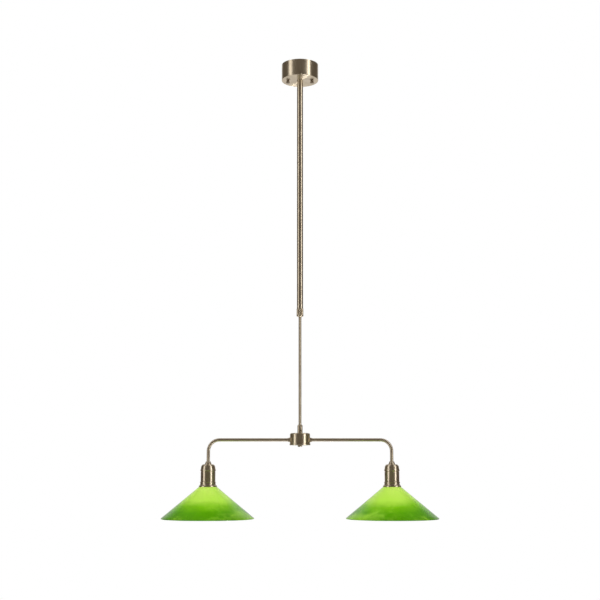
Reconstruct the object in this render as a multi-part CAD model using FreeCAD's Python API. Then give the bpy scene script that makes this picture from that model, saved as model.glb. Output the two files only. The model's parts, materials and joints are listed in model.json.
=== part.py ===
"""Two-shade pool table lamp that hangs from the ceiling on a telescopic tube.

Millimetres. The origin is the middle of the ceiling bracket's top face, so z = 0 is the
ceiling. +Z is up, +X runs along the bar from the left shade to the right shade.
Heights are negative, because everything hangs below the ceiling.
"""
import FreeCAD, Part
import math
import os

Vector = FreeCAD.Vector
ORIGIN = Vector(0, 0, 0)
X_AXIS = Vector(1, 0, 0)
Y_AXIS = Vector(0, 1, 0)
Z_AXIS = Vector(0, 0, 1)

# ---------------------------------------------------------------- driving dimensions

# Ceiling bracket: a flat steel strap with a tab for the terminal block
BRACKET_LENGTH = 92.0
BRACKET_WIDTH = 24.0
BRACKET_THICK = 2.5
CEILING_SLOT_SPACING = 40.0
CEILING_SLOT_LENGTH = 12.0
CEILING_SLOT_RADIUS = 2.6
SUPPLY_HOLE_RADIUS = 5.0
TAB_WIDTH = 28.0
TAB_REACH = 38.0

# Canopy: a spun cup held up by two studs with knurled nuts
CANOPY_RADIUS = 52.0
CANOPY_DEPTH = 46.0
CANOPY_WALL = 1.0
CANOPY_PLATE = 1.2
CANOPY_EDGE = 0.8
STUD_X = 34.3
STUD_RADIUS = 2.0
CANOPY_NUT_RADIUS = 5.0
CANOPY_NUT_HEIGHT = 8.0

# Outer tube: two lengths joined by a threaded sleeve and a thin ring
TUBE_RADIUS = 8.5
TUBE_WALL = 1.0
TUBE_JOINT_Z = -286.0
JOINT_RING_HEIGHT = 2.4
JOINT_RING_RADIUS = 8.7
SLEEVE_HALF_LENGTH = 24.0
SLEEVE_BORE = 6.3
TUBE_END_Z = -704.5

# Threaded nipple that hangs the tube from the canopy
NIPPLE_RADIUS = 5.0
NIPPLE_BORE = 3.2
NIPPLE_TOP_Z = -33.0
BUSH_LENGTH = 14.0

# Telescopic lock: split bush, clamping ring and knurled collar
COLLAR_RADIUS = 9.5
COLLAR_END_Z = -727.0
COLLAR_FLOOR = 4.4
COLLAR_BORE = 7.0
NOSE_RADIUS = 6.9
NOSE_LENGTH = 11.5
GUIDE_LENGTH = 24.5
CLAMP_RING_HEIGHT = 6.0

# Inner stem, which slides and carries the bar
STEM_RADIUS = 4.0
STEM_BORE = 3.0
STEM_TOP_Z = -395.0
STEM_END_Z = -1056.0
STOP_RING_RADIUS = 6.0
STOP_RING_HEIGHT = 6.0

# Coupler and hub in the middle of the bar
COUPLER_RADIUS = 7.0
COUPLER_TOP_Z = -1023.5
GRUB_Z = -1040.0
GRUB_RADIUS = 2.0
GRUB_ANGLE = 21.0
HUB_RADIUS = 27.5
HUB_TOP_Z = -1046.5
HUB_BOTTOM_Z = -1079.0
HUB_WALL = 1.5
HUB_SHOULDER = 4.0
COVER_RADIUS = 28.5
COVER_RIM = 4.3
CAP_SCREW_RADIUS = 6.4
CAP_SCREW_HEIGHT = 4.7

# Arms
ARM_Z = -1064.6
ARM_RADIUS = 4.5
ARM_BORE = 3.5
ARM_BEND = 30.0
ARM_INNER_X = 16.4
ARM_NUT_FLATS = 13.0
SHADE_X = 248.3

# Lampholders (E27), heights of the visible steps
HOLDER_COLLAR_TOP_Z = -1122.5
HOLDER_TOP_Z = -1130.0
HOLDER_BEAD_Z = -1146.0
HOLDER_GROOVE_Z = -1150.0
HOLDER_BODY_END_Z = -1176.0
GALLERY_RING_Z = -1178.4
GALLERY_END_Z = -1190.2
HOLDER_RADIUS = 20.0
BEAD_RADIUS = 21.0
GALLERY_RADIUS = 24.6
SKIRT_RADIUS = 19.6
SKIRT_END_Z = -1204.0
SOCKET_BORE = 14.1
SLEEVE_INNER = 13.35
LAMP_CAP_RADIUS = 13.0

# Glass shades
SHADE_RADIUS = 125.0
SHADE_RIM_Z = -1275.6
SHADE_TOP_Z = -1188.3
SHADE_NECK_RADIUS = 23.4
SHADE_HOLE_RADIUS = 21.0
SHADE_THICK = 3.0

# Lamp bulbs (golf ball)
BULB_RADIUS = 22.5
BULB_CENTRE_Z = -1220.5

# Leads
LEAD_RADIUS = 2.5
CORE_RADIUS = 0.9

GAP = 0.3        # between pieces that move against each other
THREAD_GAP = 0.05  # between a thread and the hole that it screws into

SIDES = (("left", -1), ("right", 1))
CANOPY_FLOOR_Z = -CANOPY_DEPTH + CANOPY_PLATE
TUBE_BORE = TUBE_RADIUS - TUBE_WALL


# ---------------------------------------------------------------- helpers

def rod(radius, z_top, z_bottom, x=0.0, y=0.0):
    """Upright round rod."""
    return Part.makeCylinder(radius, z_top - z_bottom, Vector(x, y, z_bottom))


def ring(outer, inner, z_top, z_bottom, x=0.0, y=0.0):
    """Upright tube or washer."""
    return rod(outer, z_top, z_bottom, x, y).cut(rod(inner, z_top + 1, z_bottom - 1, x, y))


def cross_rod(radius, x_from, x_to, z, y=0.0):
    """Round rod along X."""
    return Part.makeCylinder(radius, x_to - x_from, Vector(x_from, y, z), X_AXIS)


def block(x_from, x_to, y_from, y_to, z_top, z_bottom):
    """Upright rectangular block."""
    corner = Vector(x_from, y_from, z_bottom)
    return Part.makeBox(x_to - x_from, y_to - y_from, z_top - z_bottom, corner)


def turned(outline, x=0.0):
    """Solid of revolution about an upright axis at x.

    outline is a closed list of steps in (radius, z). A step of two numbers is a straight
    line to that point, a step of four is an arc through the first point to the second.
    """
    edges = []
    here = Vector(outline[0][0], 0, outline[0][1])
    first = here
    for step in outline[1:]:
        there = Vector(step[-2], 0, step[-1])
        if len(step) == 4:
            edges.append(Part.Arc(here, Vector(step[0], 0, step[1]), there).toShape())
        else:
            edges.append(Part.LineSegment(here, there).toShape())
        here = there
    edges.append(Part.LineSegment(here, first).toShape())
    solid = Part.Face(Part.Wire(edges)).revolve(ORIGIN, Z_AXIS, 360)
    solid.translate(Vector(x, 0, 0))
    return solid


def hexagon(across_flats, z_top, z_bottom, x=0.0, y=0.0):
    """Upright hexagonal prism with two flats facing X."""
    corner_radius = across_flats / math.sqrt(3)
    corners = []
    for turn in range(7):
        angle = math.radians(30 + 60 * turn)
        place = Vector(x + corner_radius * math.cos(angle), y + corner_radius * math.sin(angle), z_bottom)
        corners.append(place)
    return Part.Face(Part.makePolygon(corners)).extrude(Vector(0, 0, z_top - z_bottom))


def hex_nut(across_flats, hole_radius, z_top, z_bottom, x=0.0, y=0.0):
    """Hexagon nut with both ends chamfered by a sphere-like turned blank."""
    corner_radius = across_flats / math.sqrt(3)
    chamfer = corner_radius - across_flats / 2
    blank = turned([
        (0, z_bottom), (across_flats / 2, z_bottom), (corner_radius, z_bottom + chamfer),
        (corner_radius, z_top - chamfer), (across_flats / 2, z_top), (0, z_top),
    ])
    blank.translate(Vector(x, y, 0))
    nut = hexagon(across_flats, z_top, z_bottom, x, y).common(blank)
    return nut.cut(rod(hole_radius, z_top + 1, z_bottom - 1, x, y))


def tangent_route(points, bend):
    """Wire of straight runs joined by tangent arcs of one radius."""
    edges = []
    here = points[0]
    for before, corner, after in zip(points, points[1:], points[2:]):
        back = (before - corner).normalize()
        ahead = (after - corner).normalize()
        half_angle = back.getAngle(ahead) / 2
        trim = bend / math.tan(half_angle)
        arc_start = corner + back * trim
        arc_end = corner + ahead * trim
        towards_centre = (back + ahead).normalize()
        arc_middle = corner + towards_centre * (bend / math.sin(half_angle) - bend)
        edges.append(Part.LineSegment(here, arc_start).toShape())
        edges.append(Part.Arc(arc_start, arc_middle, arc_end).toShape())
        here = arc_end
    edges.append(Part.LineSegment(here, points[-1]).toShape())
    return Part.Wire(edges)


def along_route(radius, points, bend):
    """Round bar that follows a route."""
    route = tangent_route(points, bend)
    end_circle = Part.Wire(Part.makeCircle(radius, points[0], points[1] - points[0]))
    bar = route.makePipeShell([end_circle], True, False)
    if bar.Volume < 0:
        bar.reverse()
    return bar


def mirrored(shape, side):
    """Right-hand shape, or its mirror image for the left side."""
    if side > 0:
        return shape
    return shape.mirror(ORIGIN, X_AXIS)


def save(name, *shapes):
    """Write one named piece, or one group of identical pieces."""
    whole = shapes[0] if len(shapes) == 1 else Part.makeCompound(list(shapes))
    assert whole.isValid(), name
    whole.exportStep("parts/" + name + ".step")


# ---------------------------------------------------------------- ceiling bracket and canopy

def ceiling_bracket():
    """Steel strap: two slots for the ceiling screws, a supply hole and two stud holes."""
    half_length = BRACKET_LENGTH / 2
    half_width = BRACKET_WIDTH / 2
    strap = block(-half_length, half_length, -half_width, half_width, 0, -BRACKET_THICK)
    upright_edges = [edge for edge in strap.Edges if abs(edge.tangentAt(0).z) > 0.9]
    strap = strap.makeFillet(5.0, upright_edges)
    tab = block(-TAB_WIDTH / 2, TAB_WIDTH / 2, 0, TAB_REACH, 0, -BRACKET_THICK)
    plate = strap.fuse(tab).removeSplitter()
    plate = plate.cut(rod(SUPPLY_HOLE_RADIUS, 1, -BRACKET_THICK - 1))
    slot_half = CEILING_SLOT_LENGTH / 2 - CEILING_SLOT_RADIUS
    for side in (-1, 1):
        middle = side * CEILING_SLOT_SPACING / 2
        slot = block(middle - slot_half, middle + slot_half, -CEILING_SLOT_RADIUS, CEILING_SLOT_RADIUS,
                     1, -BRACKET_THICK - 1)
        for end in (middle - slot_half, middle + slot_half):
            slot = slot.fuse(rod(CEILING_SLOT_RADIUS, 1, -BRACKET_THICK - 1, end))
        plate = plate.cut(slot)
        plate = plate.cut(rod(STUD_RADIUS + THREAD_GAP, 1, -BRACKET_THICK - 1, side * STUD_X))
    plate = plate.cut(rod(EARTH_SHANK + THREAD_GAP, 1, -BRACKET_THICK - 1, EARTH_X, EARTH_Y))
    for x in (-PEG_X, PEG_X):
        plate = plate.cut(rod(PEG_RADIUS + THREAD_GAP, 1, -BRACKET_THICK - 1, x, WAY_SCREW_Y))
    return plate.removeSplitter()


def canopy_cup():
    """Spun cup with its mouth against the ceiling and a flat plate below."""
    wall_inner = CANOPY_RADIUS - CANOPY_WALL
    bottom = -CANOPY_DEPTH
    round_off = CANOPY_EDGE * (1 - math.sqrt(0.5))
    cup = turned([
        (NIPPLE_RADIUS + 2 * THREAD_GAP, bottom), (CANOPY_RADIUS - CANOPY_EDGE, bottom),
        (CANOPY_RADIUS - round_off, bottom + round_off, CANOPY_RADIUS, bottom + CANOPY_EDGE),
        (CANOPY_RADIUS, 0), (wall_inner, 0), (wall_inner, CANOPY_FLOOR_Z),
        (NIPPLE_RADIUS + 2 * THREAD_GAP, CANOPY_FLOOR_Z),
    ])
    for x in (-STUD_X, STUD_X):
        cup = cup.cut(rod(STUD_RADIUS + 0.2, CANOPY_FLOOR_Z + 1, bottom - 1, x))
    return cup


STUD_END_Z = -CANOPY_DEPTH - CANOPY_NUT_HEIGHT + 2.5
STUD_NUT_FLATS = 7.0
STUD_NUT_HEIGHT = 3.2


def canopy_nut(x):
    """Blind knurled nut that draws the canopy up against the ceiling."""
    top = -CANOPY_DEPTH
    bottom = top - CANOPY_NUT_HEIGHT
    edge = 1.0
    nut = turned([
        (0, bottom), (CANOPY_NUT_RADIUS - edge, bottom), (CANOPY_NUT_RADIUS, bottom + edge),
        (CANOPY_NUT_RADIUS, top - 2.6), (CANOPY_NUT_RADIUS - 1.2, top - 2.0),
        (CANOPY_NUT_RADIUS - 1.2, top), (0, top),
    ], x)
    return nut.cut(rod(STUD_RADIUS + THREAD_GAP, top + 1, STUD_END_Z - 0.5, x))


# Terminal block under the bracket's tab, and the earth screw beside it
BLOCK_FRONT_Y = 22.0
BLOCK_BACK_Y = 36.0
BLOCK_HALF = 12.0
BLOCK_END_Z = -BRACKET_THICK - 14.0
PEG_X = 10.0
PEG_RADIUS = 1.5
WAY_SCREW_Y = 29.0
WAY_X = 5.0
WAY_Z = -12.0
WAY_RADIUS = 1.7
WAY_SCREW_RADIUS = 1.9
EARTH_X = -9.0
EARTH_Y = 16.5
EARTH_SHANK = 1.95
EARTH_HEAD_RADIUS = 3.6
EARTH_HEAD_HEIGHT = 2.6


def terminal_block():
    """Two-way block: a wire way along Y and a screw well from below for each core.

    Two moulded pegs snap into the bracket's tab.
    """
    body = block(-BLOCK_HALF, BLOCK_HALF, BLOCK_FRONT_Y, BLOCK_BACK_Y, -BRACKET_THICK, BLOCK_END_Z)
    for x in (-WAY_X, WAY_X):
        way = Part.makeCylinder(WAY_RADIUS, 20, Vector(x, BLOCK_FRONT_Y - 1, WAY_Z), Y_AXIS)
        body = body.cut(way).cut(rod(WAY_SCREW_RADIUS + THREAD_GAP, WAY_Z, BLOCK_END_Z - 1, x, WAY_SCREW_Y))
    for x in (-PEG_X, PEG_X):
        body = body.fuse(rod(PEG_RADIUS, -0.4, -BRACKET_THICK, x, WAY_SCREW_Y))
    return body.removeSplitter()


def slotted_screw(radius, z_top, z_bottom, x, y):
    """Headless slotted screw, driven from below."""
    slot = block(x - radius - 1, x + radius + 1, y - 0.4, y + 0.4, z_bottom + 0.8, z_bottom - 1)
    return rod(radius, z_top, z_bottom, x, y).cut(slot)


def earth_screw():
    """Screw that bonds the earth core to the bracket."""
    head_bottom = -BRACKET_THICK - EARTH_HEAD_HEIGHT
    head = rod(EARTH_HEAD_RADIUS, -BRACKET_THICK, head_bottom, EARTH_X, EARTH_Y)
    screw = head.fuse(rod(EARTH_SHANK, -0.4, -BRACKET_THICK, EARTH_X, EARTH_Y)).removeSplitter()
    slot = block(EARTH_X - 5, EARTH_X + 5, EARTH_Y - 0.5, EARTH_Y + 0.5, head_bottom + 1, head_bottom - 1)
    return screw.cut(slot)


# Lead from the terminal block down through the nipple
GRIP_TOP_Z = NIPPLE_TOP_Z + 7.0
LEAD_BEND = 12.0
LEAD_END_Y = 14.0
NIPPLE_END_Z = -CANOPY_DEPTH - BUSH_LENGTH - 2.0


def canopy_lead():
    """Sheathed lead: up out of the nipple and over towards the terminal block."""
    points = [Vector(0, 0, NIPPLE_END_Z), Vector(0, 0, WAY_Z), Vector(0, LEAD_END_Y, WAY_Z)]
    return along_route(LEAD_RADIUS, points, LEAD_BEND)


def lead_cores():
    """Two cores into the terminal block and the earth core up to its screw."""
    cores = []
    for side in (-1, 1):
        points = [
            Vector(side * 1.3, LEAD_END_Y, WAY_Z - 0.8), Vector(side * 1.3, LEAD_END_Y + 2.2, WAY_Z - 0.8),
            Vector(side * WAY_X, BLOCK_FRONT_Y - 2.2, WAY_Z), Vector(side * WAY_X, WAY_SCREW_Y, WAY_Z),
        ]
        cores.append(along_route(CORE_RADIUS, points, 2.5))
    earth_end = -BRACKET_THICK - EARTH_HEAD_HEIGHT
    earth_route = [
        Vector(0, LEAD_END_Y, WAY_Z + 1.3), Vector(0, LEAD_END_Y + 2.5, WAY_Z + 1.3),
        Vector(EARTH_X, EARTH_Y, WAY_Z + 2.6), Vector(EARTH_X, EARTH_Y, earth_end),
    ]
    cores.append(along_route(CORE_RADIUS, earth_route, 2.0))
    return cores


def make_canopy():
    save("ceiling_bracket", ceiling_bracket())
    save("bracket_studs", *[rod(STUD_RADIUS, -0.3, STUD_END_Z, x) for x in (-STUD_X, STUD_X)])
    nut_bottom = -BRACKET_THICK - STUD_NUT_HEIGHT
    save("stud_lock_nuts", *[
        hex_nut(STUD_NUT_FLATS, STUD_RADIUS + THREAD_GAP, -BRACKET_THICK, nut_bottom, x)
        for x in (-STUD_X, STUD_X)
    ])
    save("canopy_cup", canopy_cup())
    save("canopy_nuts", *[canopy_nut(x) for x in (-STUD_X, STUD_X)])
    save("terminal_block", terminal_block())
    way_screws = [slotted_screw(WAY_SCREW_RADIUS, WAY_Z - CORE_RADIUS, BLOCK_END_Z + 0.8, x, WAY_SCREW_Y)
                  for x in (-WAY_X, WAY_X)]
    save("terminal_screws", *way_screws)
    save("earth_screw", earth_screw())
    save("canopy_lead", canopy_lead())
    save("lead_cores", *lead_cores())
    save("cord_grip", ring(7.0, LEAD_RADIUS, GRIP_TOP_Z, NIPPLE_TOP_Z))


# ---------------------------------------------------------------- outer tube

def make_outer_tube():
    top = -CANOPY_DEPTH
    washer_top = CANOPY_FLOOR_Z + 1.0
    nut_top = washer_top + 4.5
    save("stem_nipple", ring(NIPPLE_RADIUS, NIPPLE_BORE, NIPPLE_TOP_Z, NIPPLE_END_Z))
    save("stem_washer", ring(9.0, NIPPLE_RADIUS + THREAD_GAP, washer_top, CANOPY_FLOOR_Z))
    save("stem_nut", hex_nut(14.0, NIPPLE_RADIUS + THREAD_GAP, nut_top, washer_top))
    save("tube_top_bush", ring(TUBE_BORE - THREAD_GAP, NIPPLE_RADIUS + THREAD_GAP, top, top - BUSH_LENGTH))
    ring_top = TUBE_JOINT_Z + JOINT_RING_HEIGHT / 2
    ring_bottom = TUBE_JOINT_Z - JOINT_RING_HEIGHT / 2
    save("upper_tube", ring(TUBE_RADIUS, TUBE_BORE, top, ring_top))
    save("tube_joint_ring", ring(JOINT_RING_RADIUS, TUBE_BORE, ring_top, ring_bottom))
    save("tube_joint_sleeve", ring(TUBE_BORE - THREAD_GAP, SLEEVE_BORE,
                                   TUBE_JOINT_Z + SLEEVE_HALF_LENGTH, TUBE_JOINT_Z - SLEEVE_HALF_LENGTH))
    save("lower_tube", ring(TUBE_RADIUS, TUBE_BORE, ring_bottom, TUBE_END_Z))
    save("slack_lead", rod(LEAD_RADIUS, NIPPLE_END_Z, STEM_TOP_Z + 2 * GAP))


# ---------------------------------------------------------------- telescopic lock

SLIDE_BORE = STEM_RADIUS + THREAD_GAP
NOSE_END_Z = TUBE_END_Z - NOSE_LENGTH
CLAMP_RING_TOP_Z = NOSE_END_Z - GAP
CLAMP_RING_END_Z = CLAMP_RING_TOP_Z - CLAMP_RING_HEIGHT


def collet_bush():
    """Bush fixed in the tube's lower end, with a threaded nose split into four fingers."""
    guide = rod(TUBE_BORE - THREAD_GAP, TUBE_END_Z + GUIDE_LENGTH, TUBE_END_Z)
    bush = guide.fuse(rod(NOSE_RADIUS, TUBE_END_Z, NOSE_END_Z)).removeSplitter()
    bush = bush.cut(rod(SLIDE_BORE, 0, NOSE_END_Z - 1))
    slot_top = TUBE_END_Z - 1.5
    bush = bush.cut(block(-9, 9, -0.5, 0.5, slot_top, NOSE_END_Z - 1))
    return bush.cut(block(-0.5, 0.5, -9, 9, slot_top, NOSE_END_Z - 1))


def clamp_ring():
    """Split nylon ring that the collar squeezes onto the stem."""
    body = turned([
        (SLIDE_BORE, CLAMP_RING_TOP_Z), (5.4, CLAMP_RING_TOP_Z), (6.6, CLAMP_RING_TOP_Z - 2.4),
        (6.6, CLAMP_RING_END_Z), (SLIDE_BORE, CLAMP_RING_END_Z),
    ])
    return body.cut(block(0, 8, -0.4, 0.4, CLAMP_RING_TOP_Z + 1, CLAMP_RING_END_Z - 1))


def lock_collar():
    """Knurled collar: threaded bore above, a floor with a clear hole for the stem below."""
    top = TUBE_END_Z - GAP
    floor_top = COLLAR_END_Z + COLLAR_FLOOR
    rounding = 3.0
    inset = rounding * (1 - math.sqrt(0.5))
    return turned([
        (COLLAR_BORE, top), (COLLAR_RADIUS - 0.5, top), (COLLAR_RADIUS, top - 0.5),
        (COLLAR_RADIUS, COLLAR_END_Z + rounding),
        (COLLAR_RADIUS - inset, COLLAR_END_Z + inset, COLLAR_RADIUS - rounding, COLLAR_END_Z),
        (STEM_RADIUS + 0.4, COLLAR_END_Z), (STEM_RADIUS + 0.4, floor_top), (COLLAR_BORE, floor_top),
    ])


def make_lock():
    save("collet_bush", collet_bush())
    save("clamp_ring", clamp_ring())
    save("lock_collar", lock_collar())


# ---------------------------------------------------------------- sliding stem

HUB_CEILING_Z = HUB_TOP_Z - HUB_WALL
END_WASHER_TOP_Z = HUB_CEILING_Z - GAP
END_NUT_TOP_Z = END_WASHER_TOP_Z - 1.0
END_NUT_HEIGHT = 5.0
TERMINAL_TOP_Z = -1060.0


def make_stem():
    stop_top = STEM_TOP_Z - 1.0
    save("inner_stem", ring(STEM_RADIUS, STEM_BORE, STEM_TOP_Z, STEM_END_Z))
    save("stem_stop_ring", ring(STOP_RING_RADIUS, STEM_RADIUS, stop_top, stop_top - STOP_RING_HEIGHT))
    save("stem_end_washer", ring(8.0, STEM_RADIUS + THREAD_GAP, END_WASHER_TOP_Z, END_NUT_TOP_Z))
    save("stem_end_nut", hex_nut(13.0, STEM_RADIUS, END_NUT_TOP_Z, END_NUT_TOP_Z - END_NUT_HEIGHT))
    save("stem_lead", rod(LEAD_RADIUS, STEM_TOP_Z + GAP, TERMINAL_TOP_Z + GAP))


# ---------------------------------------------------------------- coupler and hub

PIVOT_BORE = STEM_RADIUS + THREAD_GAP
BRIDGE_HALF_WIDTH = 8.0
BRIDGE_OUTER_X = 24.4
BRIDGE_THICK = 1.5
BRIDGE_TOP_Z = -1058.0
BRIDGE_END_Z = -1074.0
COVER_THICK = 1.5
CUP_END_Z = HUB_BOTTOM_Z + COVER_THICK
SHANK_RADIUS = 2.45
TERMINAL_HALF_X = 7.0
TERMINAL_HALF_Y = 10.0
TERMINAL_END_Z = -1070.4


def radial_rod(radius, r_from, r_to, z):
    """Rod that points out from the stem, on the front face, turned by the grub screw's angle."""
    angle = math.radians(-90 + GRUB_ANGLE)
    direction = Vector(math.cos(angle), math.sin(angle), 0)
    return Part.makeCylinder(radius, r_to - r_from, direction * r_from + Vector(0, 0, z), direction)


def coupler():
    """Sleeve with a domed top, which turns on the stem until its grub screw is tightened."""
    body = turned([
        (PIVOT_BORE, COUPLER_TOP_Z), (STEM_RADIUS + 1.0, COUPLER_TOP_Z),
        (COUPLER_RADIUS - 0.7, COUPLER_TOP_Z - 1.2, COUPLER_RADIUS, COUPLER_TOP_Z - 3.4),
        (COUPLER_RADIUS, HUB_TOP_Z), (PIVOT_BORE, HUB_TOP_Z),
    ])
    return body.cut(radial_rod(GRUB_RADIUS + THREAD_GAP, 0, COUPLER_RADIUS + 2, GRUB_Z))


def grub_screw():
    """Headless screw with a hexagon socket, just below the coupler's surface."""
    screw = radial_rod(GRUB_RADIUS, PIVOT_BORE + THREAD_GAP, COUPLER_RADIUS - 0.3, GRUB_Z)
    key = radial_rod(1.0, COUPLER_RADIUS - 1.8, COUPLER_RADIUS + 1, GRUB_Z)
    return screw.cut(key)


def hub_cup():
    """Inverted cup with a rounded shoulder, a hole for the stem and two for the arms."""
    inner = HUB_RADIUS - HUB_WALL
    outer_inset = HUB_SHOULDER * (1 - math.sqrt(0.5))
    inner_shoulder = HUB_SHOULDER - HUB_WALL
    inner_inset = inner_shoulder * (1 - math.sqrt(0.5))
    cup = turned([
        (PIVOT_BORE + THREAD_GAP, HUB_TOP_Z), (HUB_RADIUS - HUB_SHOULDER, HUB_TOP_Z),
        (HUB_RADIUS - outer_inset, HUB_TOP_Z - outer_inset, HUB_RADIUS, HUB_TOP_Z - HUB_SHOULDER),
        (HUB_RADIUS, CUP_END_Z), (inner, CUP_END_Z), (inner, HUB_CEILING_Z - inner_shoulder),
        (inner - inner_inset, HUB_CEILING_Z - inner_inset, inner - inner_shoulder, HUB_CEILING_Z),
        (PIVOT_BORE + THREAD_GAP, HUB_CEILING_Z),
    ])
    return cup.cut(cross_rod(ARM_RADIUS + THREAD_GAP, -HUB_RADIUS - 1, HUB_RADIUS + 1, ARM_Z))


def hub_bridge():
    """U-shaped strap clamped by the arm nuts; its web holds the screw of the cover."""
    outside = block(-BRIDGE_OUTER_X, BRIDGE_OUTER_X, -BRIDGE_HALF_WIDTH, BRIDGE_HALF_WIDTH,
                    BRIDGE_TOP_Z, BRIDGE_END_Z)
    inner_x = BRIDGE_OUTER_X - BRIDGE_THICK
    inside = block(-inner_x, inner_x, -BRIDGE_HALF_WIDTH - 1, BRIDGE_HALF_WIDTH + 1,
                   BRIDGE_TOP_Z + 1, BRIDGE_END_Z + BRIDGE_THICK)
    strap = outside.cut(inside)
    strap = strap.cut(cross_rod(ARM_RADIUS + THREAD_GAP, -BRIDGE_OUTER_X - 1, BRIDGE_OUTER_X + 1, ARM_Z))
    return strap.cut(rod(SHANK_RADIUS + THREAD_GAP, BRIDGE_TOP_Z, BRIDGE_END_Z - 1))


def hub_cover():
    """Shallow dish that closes the hub from below, with its rim round the cup."""
    dish = turned([
        (SHANK_RADIUS + 0.2, HUB_BOTTOM_Z), (COVER_RADIUS - 0.5, HUB_BOTTOM_Z),
        (COVER_RADIUS, HUB_BOTTOM_Z + 0.5), (COVER_RADIUS, HUB_BOTTOM_Z + COVER_RIM - 0.3),
        (COVER_RADIUS - 0.3, HUB_BOTTOM_Z + COVER_RIM), (HUB_RADIUS + THREAD_GAP, HUB_BOTTOM_Z + COVER_RIM),
        (HUB_RADIUS + THREAD_GAP, CUP_END_Z), (SHANK_RADIUS + 0.2, CUP_END_Z),
    ])
    return dish


def hub_cap_screw():
    """Domed cap with a threaded shank, up through the cover into the bridge."""
    bottom = HUB_BOTTOM_Z - CAP_SCREW_HEIGHT
    return turned([
        (0, bottom), (CAP_SCREW_RADIUS * 0.45, bottom + 0.1),
        (CAP_SCREW_RADIUS * 0.86, bottom + 1.0, CAP_SCREW_RADIUS, bottom + 2.6),
        (CAP_SCREW_RADIUS, HUB_BOTTOM_Z), (SHANK_RADIUS, HUB_BOTTOM_Z),
        (SHANK_RADIUS, BRIDGE_END_Z + BRIDGE_THICK + 0.8), (0, BRIDGE_END_Z + BRIDGE_THICK + 0.8),
    ])


def arm_collar():
    """Stepped nut where the right arm enters the hub, cut to the hub's round wall."""
    far_x = HUB_RADIUS + 5.5
    outline = turned([
        (ARM_RADIUS, HUB_RADIUS - 1.2), (6.2, HUB_RADIUS - 1.2), (6.2, HUB_RADIUS + 2.0),
        (5.6, HUB_RADIUS + 2.5), (5.4, far_x - 0.8), (ARM_RADIUS + 0.3, far_x), (ARM_RADIUS, far_x),
    ])
    outline.rotate(ORIGIN, Y_AXIS, 90)
    outline.translate(Vector(0, 0, ARM_Z))
    return outline.cut(rod(HUB_RADIUS, HUB_TOP_Z, HUB_BOTTOM_Z))


def arm_inner_nut():
    """Hexagon nut that clamps the right arm and the bridge to the hub wall."""
    inner_x = BRIDGE_OUTER_X - BRIDGE_THICK
    nut = hex_nut(ARM_NUT_FLATS, ARM_RADIUS, inner_x, inner_x - 4.5)
    nut.rotate(ORIGIN, Z_AXIS, 30)
    nut.rotate(ORIGIN, Y_AXIS, 90)
    nut.translate(Vector(0, 0, ARM_Z))
    return nut


def hub_terminal():
    """Block where the stem's lead is joined to the two arm leads."""
    body = block(-TERMINAL_HALF_X, TERMINAL_HALF_X, -TERMINAL_HALF_Y, TERMINAL_HALF_Y,
                 TERMINAL_TOP_Z, TERMINAL_END_Z)
    upright_edges = [edge for edge in body.Edges if abs(edge.tangentAt(0).z) > 0.9]
    return body.makeFillet(1.5, upright_edges)


def make_hub():
    save("coupler", coupler())
    save("coupler_grub_screw", grub_screw())
    save("hub_cup", hub_cup())
    save("hub_bridge", hub_bridge())
    save("hub_cover", hub_cover())
    save("hub_cap_screw", hub_cap_screw())
    save("hub_terminal", hub_terminal())
    save("arm_collars", *[mirrored(arm_collar(), side) for _, side in SIDES])
    save("arm_inner_nuts", *[mirrored(arm_inner_nut(), side) for _, side in SIDES])


# ---------------------------------------------------------------- arms

ARM_END_Z = HOLDER_TOP_Z - 9.0


def arm_route(x_start, z_end):
    """Right arm's centre line: out along the bar, round the bend and down."""
    return [Vector(x_start, 0, ARM_Z), Vector(SHADE_X, 0, ARM_Z), Vector(SHADE_X, 0, z_end)]


def arm_tube():
    outside = along_route(ARM_RADIUS, arm_route(ARM_INNER_X, ARM_END_Z), ARM_BEND)
    bore = along_route(ARM_BORE, arm_route(ARM_INNER_X - 1, ARM_END_Z - 1), ARM_BEND)
    return outside.cut(bore)


def make_arms():
    for name, side in SIDES:
        save("arm_" + name, mirrored(arm_tube(), side))
        lead = along_route(LEAD_RADIUS, arm_route(TERMINAL_HALF_X, SOCKET_TOP_Z), ARM_BEND)
        save("arm_lead_" + name, mirrored(lead, side))


# ---------------------------------------------------------------- lampholders

SOCKET_TOP_Z = HOLDER_GROOVE_Z - 1.0
SOCKET_FLOOR_Z = SOCKET_TOP_Z - 13.0
SOCKET_RADIUS = SKIRT_RADIUS - 1.2
CONTACT_Z = SOCKET_FLOOR_Z - 2.4


def holder_collar(x):
    """Conical locking nut on the arm's thread, above the lampholder cap."""
    return turned([
        (ARM_RADIUS, HOLDER_COLLAR_TOP_Z), (6.4, HOLDER_COLLAR_TOP_Z),
        (7.0, HOLDER_COLLAR_TOP_Z - 0.6), (7.2, HOLDER_COLLAR_TOP_Z - 2.6),
        (8.2, HOLDER_COLLAR_TOP_Z - 4.4, 9.0, HOLDER_COLLAR_TOP_Z - 6.0),
        (9.0, HOLDER_TOP_Z), (ARM_RADIUS, HOLDER_TOP_Z),
    ], x)


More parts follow.
